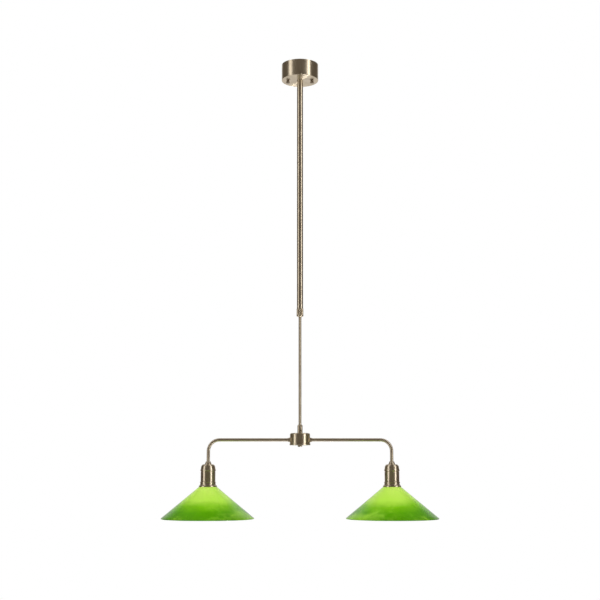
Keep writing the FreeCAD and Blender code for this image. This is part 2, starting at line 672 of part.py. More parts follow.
def holder_cap(x):
    """Domed upper shell with a rolled bead, and a threaded neck inside it."""
    bead_start = HOLDER_BEAD_Z + 2.6
    bead_end = HOLDER_BEAD_Z - 2.6
    return turned([
        (ARM_RADIUS + THREAD_GAP, HOLDER_TOP_Z), (13.4, HOLDER_TOP_Z),
        (17.7, HOLDER_TOP_Z - 3.4, 19.2, HOLDER_TOP_Z - 8.0), (19.6, HOLDER_TOP_Z - 10.5),
        (20.2, bead_start), (BEAD_RADIUS, HOLDER_BEAD_Z, 20.2, bead_end),
        (19.4, bead_end - 0.5), (19.4, HOLDER_GROOVE_Z), (18.4, HOLDER_GROOVE_Z),
        (18.4, HOLDER_TOP_Z - 10.0), (16.7, HOLDER_TOP_Z - 4.6, 13.0, HOLDER_TOP_Z - 1.5),
        (8.0, HOLDER_TOP_Z - 1.5), (8.0, ARM_END_Z), (ARM_RADIUS + THREAD_GAP, ARM_END_Z),
    ], x)


def holder_body(x):
    """Straight shell with a threaded skirt that the gallery and the shade ring screw onto."""
    shoulder_z = HOLDER_BODY_END_Z + 2.0
    return turned([
        (19.0, HOLDER_GROOVE_Z), (HOLDER_RADIUS - 0.5, HOLDER_GROOVE_Z),
        (HOLDER_RADIUS, HOLDER_GROOVE_Z - 0.5), (HOLDER_RADIUS, HOLDER_BODY_END_Z + 0.5),
        (SKIRT_RADIUS, HOLDER_BODY_END_Z), (SKIRT_RADIUS, SKIRT_END_Z),
        (SKIRT_RADIUS - 1.0, SKIRT_END_Z), (SKIRT_RADIUS - 1.0, shoulder_z), (19.0, shoulder_z),
    ], x)


def shade_gallery(x):
    """Bell-shaped ring that covers the neck of the glass."""
    bore = SKIRT_RADIUS + THREAD_GAP
    seat_z = SHADE_TOP_Z + 0.7
    return turned([
        (bore, HOLDER_BODY_END_Z - 0.5), (20.6, HOLDER_BODY_END_Z - 0.5),
        (21.6, GALLERY_RING_Z, 20.7, GALLERY_RING_Z - 1.8),
        (21.7, GALLERY_RING_Z - 6.0, 24.2, GALLERY_END_Z + 3.0), (GALLERY_RADIUS, GALLERY_END_Z + 2.4),
        (GALLERY_RADIUS, GALLERY_END_Z), (GALLERY_RADIUS - 0.15, GALLERY_END_Z),
        (GALLERY_RADIUS - 0.7, GALLERY_END_Z + 0.8), (GALLERY_RADIUS - 0.7, seat_z), (bore, seat_z),
    ], x)


def glass_shade(x):
    """Blown cone of even thickness with a fire-rounded rim and a short turned neck."""
    half = SHADE_THICK / 2
    rim = Vector(SHADE_RADIUS - half, 0, SHADE_RIM_Z + half)
    neck = Vector(SHADE_NECK_RADIUS, 0, SHADE_TOP_Z - 1.3)
    # The outer line leaves the neck and is tangent to the circle of the rim
    to_rim = rim - neck
    tilt = math.atan2(-to_rim.z, to_rim.x) + math.asin(half / to_rim.Length)
    slope = Vector(math.cos(tilt), 0, -math.sin(tilt))
    outward = Vector(math.sin(tilt), 0, math.cos(tilt))
    outer_end = rim + outward * half
    rim_end = rim + slope * half
    inner_end = rim - outward * half
    inner_start = neck - outward * SHADE_THICK + slope * 0.5
    return turned([
        (SHADE_HOLE_RADIUS, SHADE_TOP_Z), (SHADE_NECK_RADIUS - 0.8, SHADE_TOP_Z),
        (SHADE_NECK_RADIUS, SHADE_TOP_Z - 0.8), (neck.x, neck.z), (outer_end.x, outer_end.z),
        (rim_end.x, rim_end.z, inner_end.x, inner_end.z), (inner_start.x, inner_start.z),
        (SHADE_HOLE_RADIUS, inner_start.z + 1.0),
    ], x)


def shade_ring(x):
    """Ring that screws up the skirt and clamps the glass from inside."""
    bore = SKIRT_RADIUS + THREAD_GAP
    top = SHADE_TOP_Z - 5.9
    return turned([
        (bore, top), (23.6, top), (23.8, top - 0.2), (23.8, top - 6.6), (22.8, top - 7.6),
        (bore, top - 7.6),
    ], x)


def socket_insert(x):
    """Porcelain insert with a bore for the thread sleeve and two wire holes in its roof."""
    body = turned([
        (0, SOCKET_TOP_Z), (SOCKET_RADIUS - 1.0, SOCKET_TOP_Z), (SOCKET_RADIUS, SOCKET_TOP_Z - 1.0),
        (SOCKET_RADIUS, SKIRT_END_Z + 1.0), (SOCKET_BORE, SKIRT_END_Z + 1.0),
        (SOCKET_BORE, SOCKET_FLOOR_Z), (0, SOCKET_FLOOR_Z),
    ], x)
    for offset in (-9.0, 9.0):
        body = body.cut(rod(1.2, SOCKET_TOP_Z + 1, SOCKET_FLOOR_Z - 1, x + offset))
    return body


def centre_contact(x):
    """Sprung strip bent down to meet the lamp cap."""
    strip = block(x - 7.0, x + 7.0, -2.5, 2.5, SOCKET_FLOOR_Z, SOCKET_FLOOR_Z - 0.5)
    return strip.fuse(rod(2.6, SOCKET_FLOOR_Z, CONTACT_Z, x)).removeSplitter()


def lamp_cap(x):
    """Screw cap of the bulb with its insulated centre contact."""
    top = CONTACT_Z - THREAD_GAP
    shoulder = top - 4.5
    return turned([
        (0, top), (4.0, top), (4.6, top - 0.8), (9.5, shoulder + 1.0), (LAMP_CAP_RADIUS - 0.6, shoulder),
        (LAMP_CAP_RADIUS, shoulder - 0.8), (LAMP_CAP_RADIUS, shoulder - 22.0),
        (LAMP_CAP_RADIUS - 0.6, shoulder - 22.6), (0, shoulder - 22.6),
    ], x)


def bulb_glass(x):
    """Thin golf-ball globe with a short neck."""
    neck_top = CONTACT_Z - THREAD_GAP - 27.1
    wall = 1.0
    neck_radius = LAMP_CAP_RADIUS - 0.8
    neck_end = BULB_CENTRE_Z + 18.6
    join_height = 15.0
    join_outer = math.sqrt(BULB_RADIUS ** 2 - join_height ** 2)
    inner_ball = BULB_RADIUS - wall
    join_inner = math.sqrt(inner_ball ** 2 - join_height ** 2)
    return turned([
        (neck_radius - wall, neck_top), (neck_radius, neck_top), (neck_radius, neck_end),
        (join_outer, BULB_CENTRE_Z + join_height),
        (BULB_RADIUS * 0.94, BULB_CENTRE_Z - BULB_RADIUS * math.sqrt(1 - 0.94 ** 2),
         0, BULB_CENTRE_Z - BULB_RADIUS),
        (0, BULB_CENTRE_Z - inner_ball),
        (inner_ball * 0.94, BULB_CENTRE_Z - inner_ball * math.sqrt(1 - 0.94 ** 2),
         join_inner, BULB_CENTRE_Z + join_height),
        (neck_radius - wall, neck_end),
    ], x)


def make_lampholders():
    pair = [side * SHADE_X for _, side in SIDES]
    save("holder_collars", *[holder_collar(x) for x in pair])
    save("shade_rings", *[shade_ring(x) for x in pair])
    save("shade_gaskets", *[ring(23.2, 20.6, SHADE_TOP_Z + 0.7, SHADE_TOP_Z, x) for x in pair])
    save("centre_contacts", *[centre_contact(x) for x in pair])
    sleeve_top = CONTACT_Z
    sleeve_end = SKIRT_END_Z + 3.0
    save("thread_sleeves", *[ring(SOCKET_BORE - THREAD_GAP, SLEEVE_INNER, sleeve_top, sleeve_end, x)
                             for x in pair])
    makers = {
        "holder_cap": holder_cap,
        "holder_body": holder_body,
        "shade_gallery": shade_gallery,
        "socket_insert": socket_insert,
        "glass_shade": glass_shade,
        "lamp_cap": lamp_cap,
        "bulb_glass": bulb_glass,
    }
    for name, side in SIDES:
        for piece, maker in makers.items():
            save(piece + "_" + name, maker(side * SHADE_X))


os.makedirs("parts", exist_ok=True)
make_canopy()
make_outer_tube()
make_lock()
make_stem()
make_hub()
make_arms()
make_lampholders()
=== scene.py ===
# %% [markdown]
# # A two-shade lamp for a pool table
#
# The lamp hangs from the ceiling on a telescopic tube of antique brass. Its bar swivels under
# the tube and carries two lampholders with cones of green glass. The structure arrives as a
# finished frame of metal, glass and plastic parts. This lesson gives those parts their
# finishes, and models again the pieces whose look needs more than plain turned shapes: the
# glass, the knurled pieces, the screw threads, the bulbs and the spare length of lead.
#
# Everything is in metres. Z is up, the ceiling is at zero, and X runs along the bar.

# %% Load the frame and keep its box
import json
import math

import bpy
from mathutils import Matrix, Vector


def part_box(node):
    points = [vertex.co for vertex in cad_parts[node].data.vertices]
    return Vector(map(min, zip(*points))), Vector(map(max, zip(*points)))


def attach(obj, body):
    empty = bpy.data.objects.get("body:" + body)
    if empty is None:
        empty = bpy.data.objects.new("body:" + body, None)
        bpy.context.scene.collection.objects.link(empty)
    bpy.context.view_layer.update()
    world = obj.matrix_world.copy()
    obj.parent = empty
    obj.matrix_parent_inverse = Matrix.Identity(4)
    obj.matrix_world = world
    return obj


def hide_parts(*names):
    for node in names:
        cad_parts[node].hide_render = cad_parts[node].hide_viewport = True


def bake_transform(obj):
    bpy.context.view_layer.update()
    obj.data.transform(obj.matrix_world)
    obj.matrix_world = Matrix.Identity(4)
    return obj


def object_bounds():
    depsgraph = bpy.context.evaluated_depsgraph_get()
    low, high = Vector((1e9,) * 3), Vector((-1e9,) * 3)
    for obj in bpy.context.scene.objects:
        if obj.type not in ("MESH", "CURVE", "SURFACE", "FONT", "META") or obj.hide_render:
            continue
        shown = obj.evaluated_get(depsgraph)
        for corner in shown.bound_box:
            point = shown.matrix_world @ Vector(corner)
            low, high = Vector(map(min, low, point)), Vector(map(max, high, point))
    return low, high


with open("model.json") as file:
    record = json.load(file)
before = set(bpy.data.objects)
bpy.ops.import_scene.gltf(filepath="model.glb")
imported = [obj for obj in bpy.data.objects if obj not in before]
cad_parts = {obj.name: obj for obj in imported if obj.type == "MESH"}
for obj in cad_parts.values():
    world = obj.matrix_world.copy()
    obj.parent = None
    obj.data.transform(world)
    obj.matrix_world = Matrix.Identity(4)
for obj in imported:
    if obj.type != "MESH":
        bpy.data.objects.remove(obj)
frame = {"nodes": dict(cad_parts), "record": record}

cad_low, cad_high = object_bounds()
MM = 0.001
print("frame box in mm:", [round(v / MM) for v in cad_low], [round(v / MM) for v in cad_high])

# %% [markdown]
# ## Places that everything else is worked out from
#
# A lamp is a stack of round parts on three upright axes: the stem in the middle and one
# lampholder on each side. The boxes of a few frame parts give those axes and the heights, so
# that a change in the frame carries through to every piece made here.

# %% Axes and heights of the lamp
gallery_low, gallery_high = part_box("shade_gallery_right")
SHADE_X = (gallery_low.x + gallery_high.x) / 2
shade_low, shade_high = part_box("glass_shade_right")
SHADE_RADIUS = (shade_high.x - shade_low.x) / 2
print("shade axis at", round(SHADE_X / MM, 1), "mm, radius", round(SHADE_RADIUS / MM, 1), "mm")

# %% [markdown]
# ## The camera
#
# A hanging lamp is looked at from about the height of its shades, so the eye sees the
# underside of the ceiling canopy and only the edge of the glass. A real view camera would stay
# level and slide its lens up. Here the camera tilts up instead, because a lens shift would stay
# on in every other view and push the lamp out of the picture.

# %% Camera
CAMERA_DISTANCE = 3.0
CAMERA_Z = -1.15
CAMERA_TILT = math.radians(8.9)
LENS = 65.8
SENSOR = 36.0

camera_data = bpy.data.cameras.new("camera")
camera_data.lens = LENS
camera_data.sensor_width = SENSOR
camera_data.dof.use_dof = False
camera = bpy.data.objects.new("camera", camera_data)
camera.location = (0, -CAMERA_DISTANCE, CAMERA_Z)
camera.rotation_euler = (math.pi / 2 + CAMERA_TILT, 0, 0)
bpy.context.scene.collection.objects.link(camera)
bpy.context.scene.camera = camera
bpy.context.scene.view_settings.view_transform = "Standard"
print("camera", round(CAMERA_DISTANCE, 2), "m away, lens", LENS, "mm")

# %% [markdown]
# ## A helper for node trees
#
# Materials and the surroundings are made of shader nodes. Writing them out one by one is
# long, so a small class adds a node, fills its inputs and hands back its output. An input can
# be a number, a colour or the output of another node.

# %% Node helper
class Nodes:
    """Adds nodes to a tree. Inputs are named, numbered or left alone."""

    def __init__(self, tree):
        self.tree = tree
        self.tree.nodes.clear()

    def add(self, kind, inputs=None, **settings):
        made = self.tree.nodes.new(kind)
        for key, value in settings.items():
            setattr(made, key, value)
        for key, value in (inputs or {}).items():
            self.feed(made.inputs[key], value)
        return made

    def feed(self, socket, value):
        if isinstance(value, bpy.types.NodeSocket):
            self.tree.links.new(value, socket)
        else:
            socket.default_value = value

    def math(self, operation, *values):
        inputs = {number: value for number, value in enumerate(values)}
        return self.add("ShaderNodeMath", inputs, operation=operation).outputs[0]

    def ramp01(self, value, low, high, to_low=0.0, to_high=1.0):
        """Turns low to high into to_low to to_high, with soft ends."""
        inputs = {"Value": value, 1: low, 2: high, 3: to_low, 4: to_high}
        made = self.add("ShaderNodeMapRange", inputs, interpolation_type="SMOOTHSTEP")
        return made.outputs[0]

    def blend(self, share, first, second):
        """Mixes two colours."""
        made = self.add("ShaderNodeMix", data_type="RGBA")
        self.feed(made.inputs[0], share)
        self.feed(made.inputs[6], first)
        self.feed(made.inputs[7], second)
        return made.outputs[2]

    def combine(self, x, y, z):
        return self.add("ShaderNodeCombineXYZ", {0: x, 1: y, 2: z}).outputs[0]


def grey(value):
    return (value, value, value, 1.0)


# %% [markdown]
# ## The studio
#
# Polished metal has hardly any colour of its own: it shows the room. This lamp hangs in a dark,
# warm room between two tall soft boxes, and each box draws one upright bright strip on every
# tube. Real light objects could do it, but they would also have to be hidden from the camera in
# each view. Painting the room on the world instead gives the same reflections from any side:
# two boxes, the right one with a hot line in it, a small lamp far down behind, which draws a
# line over the canopy's plate, a pale wall at the back and a little light from above and below.
# Camera rays see plain white.
#
# All angles are in degrees. Azimuth is counted from the camera's side to the right and height
# from the horizon. Each light fades in or out between the two angles of a pair.

# %% World
ROOM = (0.106, 0.087, 0.066, 1.0)
# Each box is its azimuth, half its width and its strength.
BOXES = ((-64.0, 9.0, 1.75), (56.0, 8.0, 1.9), (60.0, 1.0, 4.0))
BOX_EDGE_INSIDE = 2.0
BOX_EDGE_OUTSIDE = 4.0
BOX_ENDS = (62.0, 74.0)
BACK_WALL_EDGE = (26.0, 40.0)
BACK_WALL_LIGHT = 0.7
ABOVE_START = (12.0, 40.0)
ABOVE_END = (85.0, 62.0)
ABOVE_LIGHT = 0.13
BELOW_START = (-12.0, -55.0)
BELOW_LIGHT = 0.34
LOW_LAMP = (139.0, -65.0)
LOW_LAMP_EDGE = (3.2, 2.2)
LOW_LAMP_LIGHT = 110.0


def towards(azimuth_degrees, height_degrees):
    """The direction of a lamp."""
    side, up = math.radians(azimuth_degrees), math.radians(height_degrees)
    return (math.cos(up) * math.sin(side), -math.cos(up) * math.cos(side), math.sin(up))


world = bpy.data.worlds.new("studio")
world.use_nodes = True
bpy.context.scene.world = world
room = Nodes(world.node_tree)
ray = room.add("ShaderNodeTexCoord").outputs["Generated"]
ray_parts = room.add("ShaderNodeSeparateXYZ", {0: ray})
towards_camera = room.math("MULTIPLY", ray_parts.outputs[1], -1.0)
azimuth = room.math("DEGREES", room.math("ARCTAN2", ray_parts.outputs[0], towards_camera))
height = room.math("DEGREES", room.math("ARCSINE", ray_parts.outputs[2]))
level = room.ramp01(room.math("ABSOLUTE", height), *BOX_ENDS, 1.0, 0.0)

light = 0.0
for middle, half_width, strength in BOXES:
    off = room.math("ABSOLUTE", room.math("SUBTRACT", azimuth, middle))
    box = room.ramp01(off, half_width - BOX_EDGE_INSIDE, half_width + BOX_EDGE_OUTSIDE,
                      strength, 0.0)
    light = room.math("ADD", light, room.math("MULTIPLY", box, level))
from_back = room.math("SUBTRACT", 180.0, room.math("ABSOLUTE", azimuth))
wall = room.ramp01(from_back, *BACK_WALL_EDGE, BACK_WALL_LIGHT, 0.0)
light = room.math("ADD", light, room.math("MULTIPLY", wall, level))
above = room.math("MULTIPLY", room.ramp01(height, *ABOVE_START),
                  room.ramp01(height, *ABOVE_END))
light = room.math("ADD", light, room.math("MULTIPLY", above, ABOVE_LIGHT))
light = room.math("ADD", light, room.ramp01(height, *BELOW_START, 0.0, BELOW_LIGHT))
facing = room.add("ShaderNodeVectorMath", {0: ray, 1: towards(*LOW_LAMP)},
                  operation="DOT_PRODUCT").outputs["Value"]
edge, core = (math.cos(math.radians(angle)) for angle in LOW_LAMP_EDGE)
light = room.math("ADD", light, room.ramp01(facing, edge, core, 0.0, LOW_LAMP_LIGHT))
glow = room.add("ShaderNodeMix", {6: ROOM, 7: room.combine(light, light, light)},
                data_type="RGBA", blend_type="ADD")
glow.inputs[0].default_value = 1.0
mirror_side = room.add("ShaderNodeBackground", {"Color": glow.outputs[2], "Strength": 1.0})
camera_side = room.add("ShaderNodeBackground", {"Color": grey(1.0), "Strength": 1.0})
is_camera = room.add("ShaderNodeLightPath").outputs["Is Camera Ray"]
both = room.add("ShaderNodeMixShader",
                {0: is_camera, 1: mirror_side.outputs[0], 2: camera_side.outputs[0]})
room.add("ShaderNodeOutputWorld", {0: both.outputs[0]})
print("studio with", len(BOXES), "soft boxes")

# %% [markdown]
# ## Floor and fill light
#
# The glass and the plastics are not mirrors, so they need light that falls on them. A broad
# overhead light with soft shadows and a weaker one from the front do that, and both are kept
# out of reflections. The floor is pale, far below the shades as under a table, and fades into
# the white surroundings towards its edge. Part of the painted room lies below it, so the floor
# neither shows in the metal nor stops that light.

# %% Floor and lights
FLOOR_Z = cad_low.z - 1.6
FLOOR_RADIUS = 12.0
FADE_START = 3.0
FADE_END = 10.8

bpy.ops.object.select_all(action="DESELECT")
bpy.ops.mesh.primitive_circle_add(vertices=96, radius=FLOOR_RADIUS, fill_type="NGON",
                                  location=(0, 0, FLOOR_Z))
floor = bpy.context.object
floor.name = "floor"
floor.visible_glossy = False
floor.visible_shadow = False

floor_finish = bpy.data.materials.new("pale_floor")
floor_finish.use_nodes = True
pale = Nodes(floor_finish.node_tree)
place = pale.add("ShaderNodeTexCoord").outputs["Object"]
from_middle = pale.add("ShaderNodeVectorMath", {0: place}, operation="LENGTH").outputs["Value"]
fade = pale.ramp01(from_middle, FADE_START, FADE_END)
paint = pale.add("ShaderNodeBsdfDiffuse", {"Color": (0.86, 0.86, 0.85, 1)})
white = pale.add("ShaderNodeEmission", {"Color": grey(1.0), "Strength": 1.0})
mixed = pale.add("ShaderNodeMixShader", {0: fade, 1: paint.outputs[0], 2: white.outputs[0]})
pale.add("ShaderNodeOutputMaterial", {0: mixed.outputs[0]})
floor.data.materials.append(floor_finish)


def soft_sun(name, strength, tilt, turn, softness):
    """A distant light with soft shadows, which reflections don't show. Angles in degrees."""
    data = bpy.data.lights.new(name, "SUN")
    data.energy = strength
    data.angle = math.radians(softness)
    sun = bpy.data.objects.new(name, data)
    sun.rotation_euler = (math.radians(tilt), 0, math.radians(turn))
    sun.visible_glossy = False
    bpy.context.scene.collection.objects.link(sun)


soft_sun("overhead_light", strength=1.9, tilt=28, turn=-20, softness=60)
soft_sun("front_light", strength=0.9, tilt=75, turn=12, softness=60)
print("floor at", round(FLOOR_Z, 2), "m")

# %% [markdown]
# ## Coordinates that follow a lathe
#
# Nearly every brass part of the lamp is spun or turned, and the tool leaves fine rings round
# the part's axis. A noise texture that is read with the distance from the axis, the height and
# only a hint of the angle gives such rings. The lampholders stand on their own axes, so their
# pattern is first moved there; the lamp is the same on both sides, so one folded X does both.

# %% Lathe coordinates
def object_place(tree):
    return tree.add("ShaderNodeTexCoord").outputs["Object"]


def around_axis(tree, axis_x):
    """Distance from the upright axis, angle round it, and height."""
    parts = tree.add("ShaderNodeSeparateXYZ", {0: object_place(tree)})
    x = parts.outputs[0]
    if axis_x:
        x = tree.math("SUBTRACT", tree.math("ABSOLUTE", x), axis_x)
    y = parts.outputs[1]
    squares = tree.math("ADD", tree.math("MULTIPLY", x, x), tree.math("MULTIPLY", y, y))
    return tree.math("SQRT", squares), tree.math("ARCTAN2", y, x), parts.outputs[2]


def stretched(tree, across, across_scale, along, along_scale, third, third_scale):
    """A coordinate whose three parts are scaled one by one."""
    return tree.combine(tree.math("MULTIPLY", across, across_scale),
                        tree.math("MULTIPLY", along, along_scale),
                        tree.math("MULTIPLY", third, third_scale))


def noise(tree, vector, scale, detail=3.0, roughness=0.55):
    inputs = {"Vector": vector, "Scale": scale, "Detail": detail, "Roughness": roughness}
    return tree.add("ShaderNodeTexNoise", inputs).outputs[0]


def bumped(tree, height, distance, strength=1.0):
    inputs = {"Height": height, "Distance": distance, "Strength": strength}
    return tree.add("ShaderNodeBump", inputs).outputs[0]


def principled(tree, **inputs):
    """The shader node, wired to the output. Underscores in names stand for spaces."""
    named = {key.replace("_", " "): value for key, value in inputs.items()}
    shader = tree.add("ShaderNodeBsdfPrincipled", named)
    tree.add("ShaderNodeOutputMaterial", {0: shader.outputs[0]})
    return shader


def new_finish(name):
    made = bpy.data.materials.new(name)
    made.use_nodes = True
    return made, Nodes(made.node_tree)


# %% [markdown]
# ## Antique brass
#
# The lamp is brass that was darkened in a bath, brushed and lacquered. Three things make it:
# a greyed brass colour with soft brown clouds where the bath bit deeper, fine rings from the
# lathe that change the gloss a little, and a gloss that is longer across the rings than along
# them. The last is what draws the thin slanting line over the flat canopy plate, and it needs
# the shader's anisotropy with a tangent that runs round the axis.

# %% Antique brass
BRASS_LIGHT = (0.62, 0.535, 0.405, 1.0)
BRASS_BROWN = (0.47, 0.385, 0.275, 1.0)
QUARTER_TURN = 0.25


def antique_brass(name, axis_x=0.0, roughness=0.33, stretch=0.9, light=BRASS_LIGHT,
                  brown=BRASS_BROWN, ring_depth=0.004 * MM):
    made, tree = new_finish(name)
    radius, angle, z = around_axis(tree, axis_x)
    rings = noise(tree, stretched(tree, radius, 2600, angle, 1.2, z, 2600), 1.0, 4.0)
    wide_rings = noise(tree, stretched(tree, radius, 420, angle, 0.8, z, 420), 1.0, 2.0)
    clouds = noise(tree, object_place(tree), 38.0, 5.0, 0.6)
    share = tree.math("MULTIPLY", tree.ramp01(clouds, 0.42, 0.72), 0.5)
    share = tree.math("ADD", share, tree.math("MULTIPLY", wide_rings, 0.14))
    colour = tree.blend(share, light, brown)
    rough = tree.ramp01(rings, 0.3, 0.7, roughness - 0.04, roughness + 0.05)
    rough = tree.math("ADD", rough, tree.math("MULTIPLY", clouds, 0.04))
    tangent = tree.add("ShaderNodeTangent", direction_type="RADIAL", axis="Z").outputs[0]
    principled(tree, Base_Color=colour, Metallic=1.0, Roughness=rough, Anisotropic=stretch,
               Anisotropic_Rotation=QUARTER_TURN, Tangent=tangent, Coat_Weight=0.15,
               Coat_Roughness=0.12, Normal=bumped(tree, rings, ring_depth))
    return made


# %% [markdown]
# The arms are drawn tube that was polished along its length and then bent, so their lines run
# along the bar, round the bend and down the leg. The noise therefore needs a place that
# follows the tube. How far the surface is from the middle of the bend, with both parts of that
# distance kept from going below nothing, runs across the tube on all three stretches.

# %% Drawn brass for the arms
ARM_BEND = 30 * MM
ARM_RADIUS = 4.5 * MM
BAR_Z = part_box("arm_right")[1].z - ARM_RADIUS


def drawn_brass(name):
    made, tree = new_finish(name)
    parts = tree.add("ShaderNodeSeparateXYZ", {0: object_place(tree)})
    x, y, z = parts.outputs
    out = tree.math("ABSOLUTE", x)
    past = tree.math("MAXIMUM", tree.math("SUBTRACT", out, SHADE_X - ARM_BEND), 0.0)
    over = tree.math("MAXIMUM", tree.math("SUBTRACT", z, BAR_Z - ARM_BEND), 0.0)
    across = tree.math("SQRT", tree.math("ADD", tree.math("MULTIPLY", past, past),
                                         tree.math("MULTIPLY", over, over)))
    along = tree.math("SUBTRACT", out, z)
    lines = noise(tree, stretched(tree, y, 2000, along, 10, across, 2000), 1.0, 3.0)
    clouds = noise(tree, object_place(tree), 26.0, 4.0, 0.55)
    colour = tree.blend(tree.ramp01(clouds, 0.4, 0.75, 0.0, 0.4), BRASS_LIGHT, BRASS_BROWN)
    rough = tree.ramp01(lines, 0.3, 0.7, 0.3, 0.36)
    principled(tree, Base_Color=colour, Metallic=1.0, Roughness=rough, Coat_Weight=0.15,
               Coat_Roughness=0.12, Normal=bumped(tree, lines, 0.003 * MM))
    return made


# %% [markdown]
# ## Plain metals of the inner parts
#
# Nipples, bushes and thread sleeves are raw brass with small tarnish spots. The bracket and
# the nuts are zinc-plated steel, whose crystals show as faint patches. The bulb's screw cap is
# bright rolled aluminium. One recipe serves them all: a colour, a second colour that shows in
# patches, the size of the patches and the roughness.

# %% Patchy metal
def patchy_metal(name, light, dark, patch_scale, roughness, crystals=False, grain=900.0):
    made, tree = new_finish(name)
    place = object_place(tree)
    if crystals:
        cells = tree.add("ShaderNodeTexVoronoi", {"Vector": place, "Scale": patch_scale})
        patches = tree.add("ShaderNodeSeparateXYZ", {0: cells.outputs["Color"]}).outputs[0]
    else:
        patches = tree.ramp01(noise(tree, place, patch_scale, 5.0, 0.65), 0.5, 0.75)
    fine = noise(tree, place, grain, 3.0)
    colour = tree.blend(patches, light, dark)
    fine_rough = tree.ramp01(fine, 0.3, 0.7, roughness - 0.05, roughness + 0.08)
    rough = tree.math("ADD", fine_rough, tree.math("MULTIPLY", patches, 0.08))
    principled(tree, Base_Color=colour, Metallic=1.0, Roughness=rough,
               Normal=bumped(tree, fine, 0.02 * MM))
    return made


# %% [markdown]
# ## Plastics, rubber and porcelain
#
# These are not metals, so their own colour shows. Moulded plastic has a very fine grain and
# slight colour drift, a lead's sheath is matt with a slightly deeper grain, and porcelain
# has a deep clear glaze over a slightly uneven body. The coat of the shader is the glaze.

# %% Plain coloured finishes
def moulded(name, colour, second, roughness, grain=1500.0, depth=0.03 * MM, coat=0.0,
            inner_glow=0.0):
    made, tree = new_finish(name)
    place = object_place(tree)
    drift = tree.ramp01(noise(tree, place, 60.0, 4.0), 0.3, 0.75)
    fine = noise(tree, place, grain, 2.0)
    rough = tree.ramp01(fine, 0.3, 0.7, roughness - 0.06, roughness + 0.06)
    principled(tree, Base_Color=tree.blend(drift, colour, second), Roughness=rough,
               Coat_Weight=coat, Coat_Roughness=0.04, Subsurface_Weight=inner_glow,
               Subsurface_Scale=0.002, Normal=bumped(tree, fine, depth))
    return made


# %% [markdown]
# The three cores in the canopy are told apart by colour: brown, blue, and green with a yellow
# stripe for the earth. They are one frame part, so the finish picks the colour by place.

# %% Core insulation
EARTH_CORE_BOTTOM = -11.75 * MM


def core_insulation(name):
    made, tree = new_finish(name)
    parts = tree.add("ShaderNodeSeparateXYZ", {0: object_place(tree)})
    x, y, z = parts.outputs
    blue_side = tree.math("LESS_THAN", x, 0.0)
    pair = tree.blend(blue_side, (0.10, 0.035, 0.012, 1), (0.01, 0.06, 0.30, 1))
    slant = tree.math("ADD", tree.math("MULTIPLY", x, 1200), tree.math("MULTIPLY", z, 900))
    stripe = tree.ramp01(tree.math("SINE", slant), 0.0, 0.3)
    earth = tree.blend(stripe, (0.02, 0.22, 0.03, 1), (0.75, 0.6, 0.03, 1))
    is_earth = tree.math("GREATER_THAN", z, EARTH_CORE_BOTTOM)
    fine = noise(tree, object_place(tree), 1200.0, 2.0)
    principled(tree, Base_Color=tree.blend(is_earth, pair, earth),
               Roughness=tree.ramp01(fine, 0.3, 0.7, 0.3, 0.42),
               Normal=bumped(tree, fine, 0.02 * MM))
    return made


# %% [markdown]
# ## Green cased glass
#
# The shade is blown in two layers: clear green outside and milky glass within. The colour
# runs with the distance from the shade's axis, pale and yellowish near the neck and deepest
# towards the rim. Part of that is the glass, whose green is stretched thin at the neck and
# gathers towards the rim, and part is painted light: the upper cone is painted paler, as the
# light from above makes it look. The melt leaves soft wisps that follow the blowing, and two
# noises, one of them warped, add the wisps. The refractive index is set a little below that of
# glass, so that the room's reflections don't veil the green. Some of the light comes through,
# which a translucent shader adds. The inside is the milky layer, only tinted by the green.

# %% Glass finishes
NECK_RADIUS = 24 * MM
WISP_TWIST = 2.4
COLOUR_DRIFT = 0.34
SMALL_WISP_SHARE = 0.35
RIPPLE_DEPTH = 0.4 * MM
REFRACTIVE_INDEX = 1.38


def cased_glass(name, stops, wisp_colour, wisp_share, roughness, through):
    """The colour stops run from the neck to the rim. Through is the share of light let through."""
    made, tree = new_finish(name)
    radius, angle, z = around_axis(tree, SHADE_X)
    out = tree.add("ShaderNodeMapRange", {"Value": radius, 1: NECK_RADIUS, 2: SHADE_RADIUS})
    place = object_place(tree)
    warp = noise(tree, place, 9.0, 3.0)
    twisted = tree.math("ADD", angle, tree.math("MULTIPLY", warp, WISP_TWIST))
    wisps = noise(tree, stretched(tree, radius, 17, twisted, 1.1, z, 10), 1.0, 3.5, 0.5)
    mottle = noise(tree, place, 32.0, 3.5, 0.5)
    uneven = tree.math("MULTIPLY", tree.math("SUBTRACT", warp, 0.5), COLOUR_DRIFT)
    along = tree.math("ADD", out.outputs[0], uneven)
    ramp = tree.add("ShaderNodeValToRGB", {0: along})
    for number, (position, colour) in enumerate(stops):
        if number > 1:
            ramp.color_ramp.elements.new(position)
        ramp.color_ramp.elements[number].position = position
        ramp.color_ramp.elements[number].color = (*colour, 1.0)
    share = tree.math("MULTIPLY", tree.ramp01(wisps, 0.44, 0.66), wisp_share)
    small = tree.ramp01(mottle, 0.5, 0.8, 0.0, wisp_share * SMALL_WISP_SHARE)
    share = tree.math("ADD", share, small)
    colour = tree.blend(share, ramp.outputs[0], (*wisp_colour, 1.0))
    ripple = bumped(tree, noise(tree, place, 26.0, 2.0), RIPPLE_DEPTH, 0.5)
    body = tree.add("ShaderNodeBsdfPrincipled", {
        "Base Color": colour, "Roughness": roughness, "IOR": REFRACTIVE_INDEX, "Normal": ripple})
    glow = tree.add("ShaderNodeBsdfTranslucent", {"Color": colour})
    mixed = tree.add("ShaderNodeMixShader", {0: through, 1: body.outputs[0], 2: glow.outputs[0]})
    tree.add("ShaderNodeOutputMaterial", {0: mixed.outputs[0]})
    return made
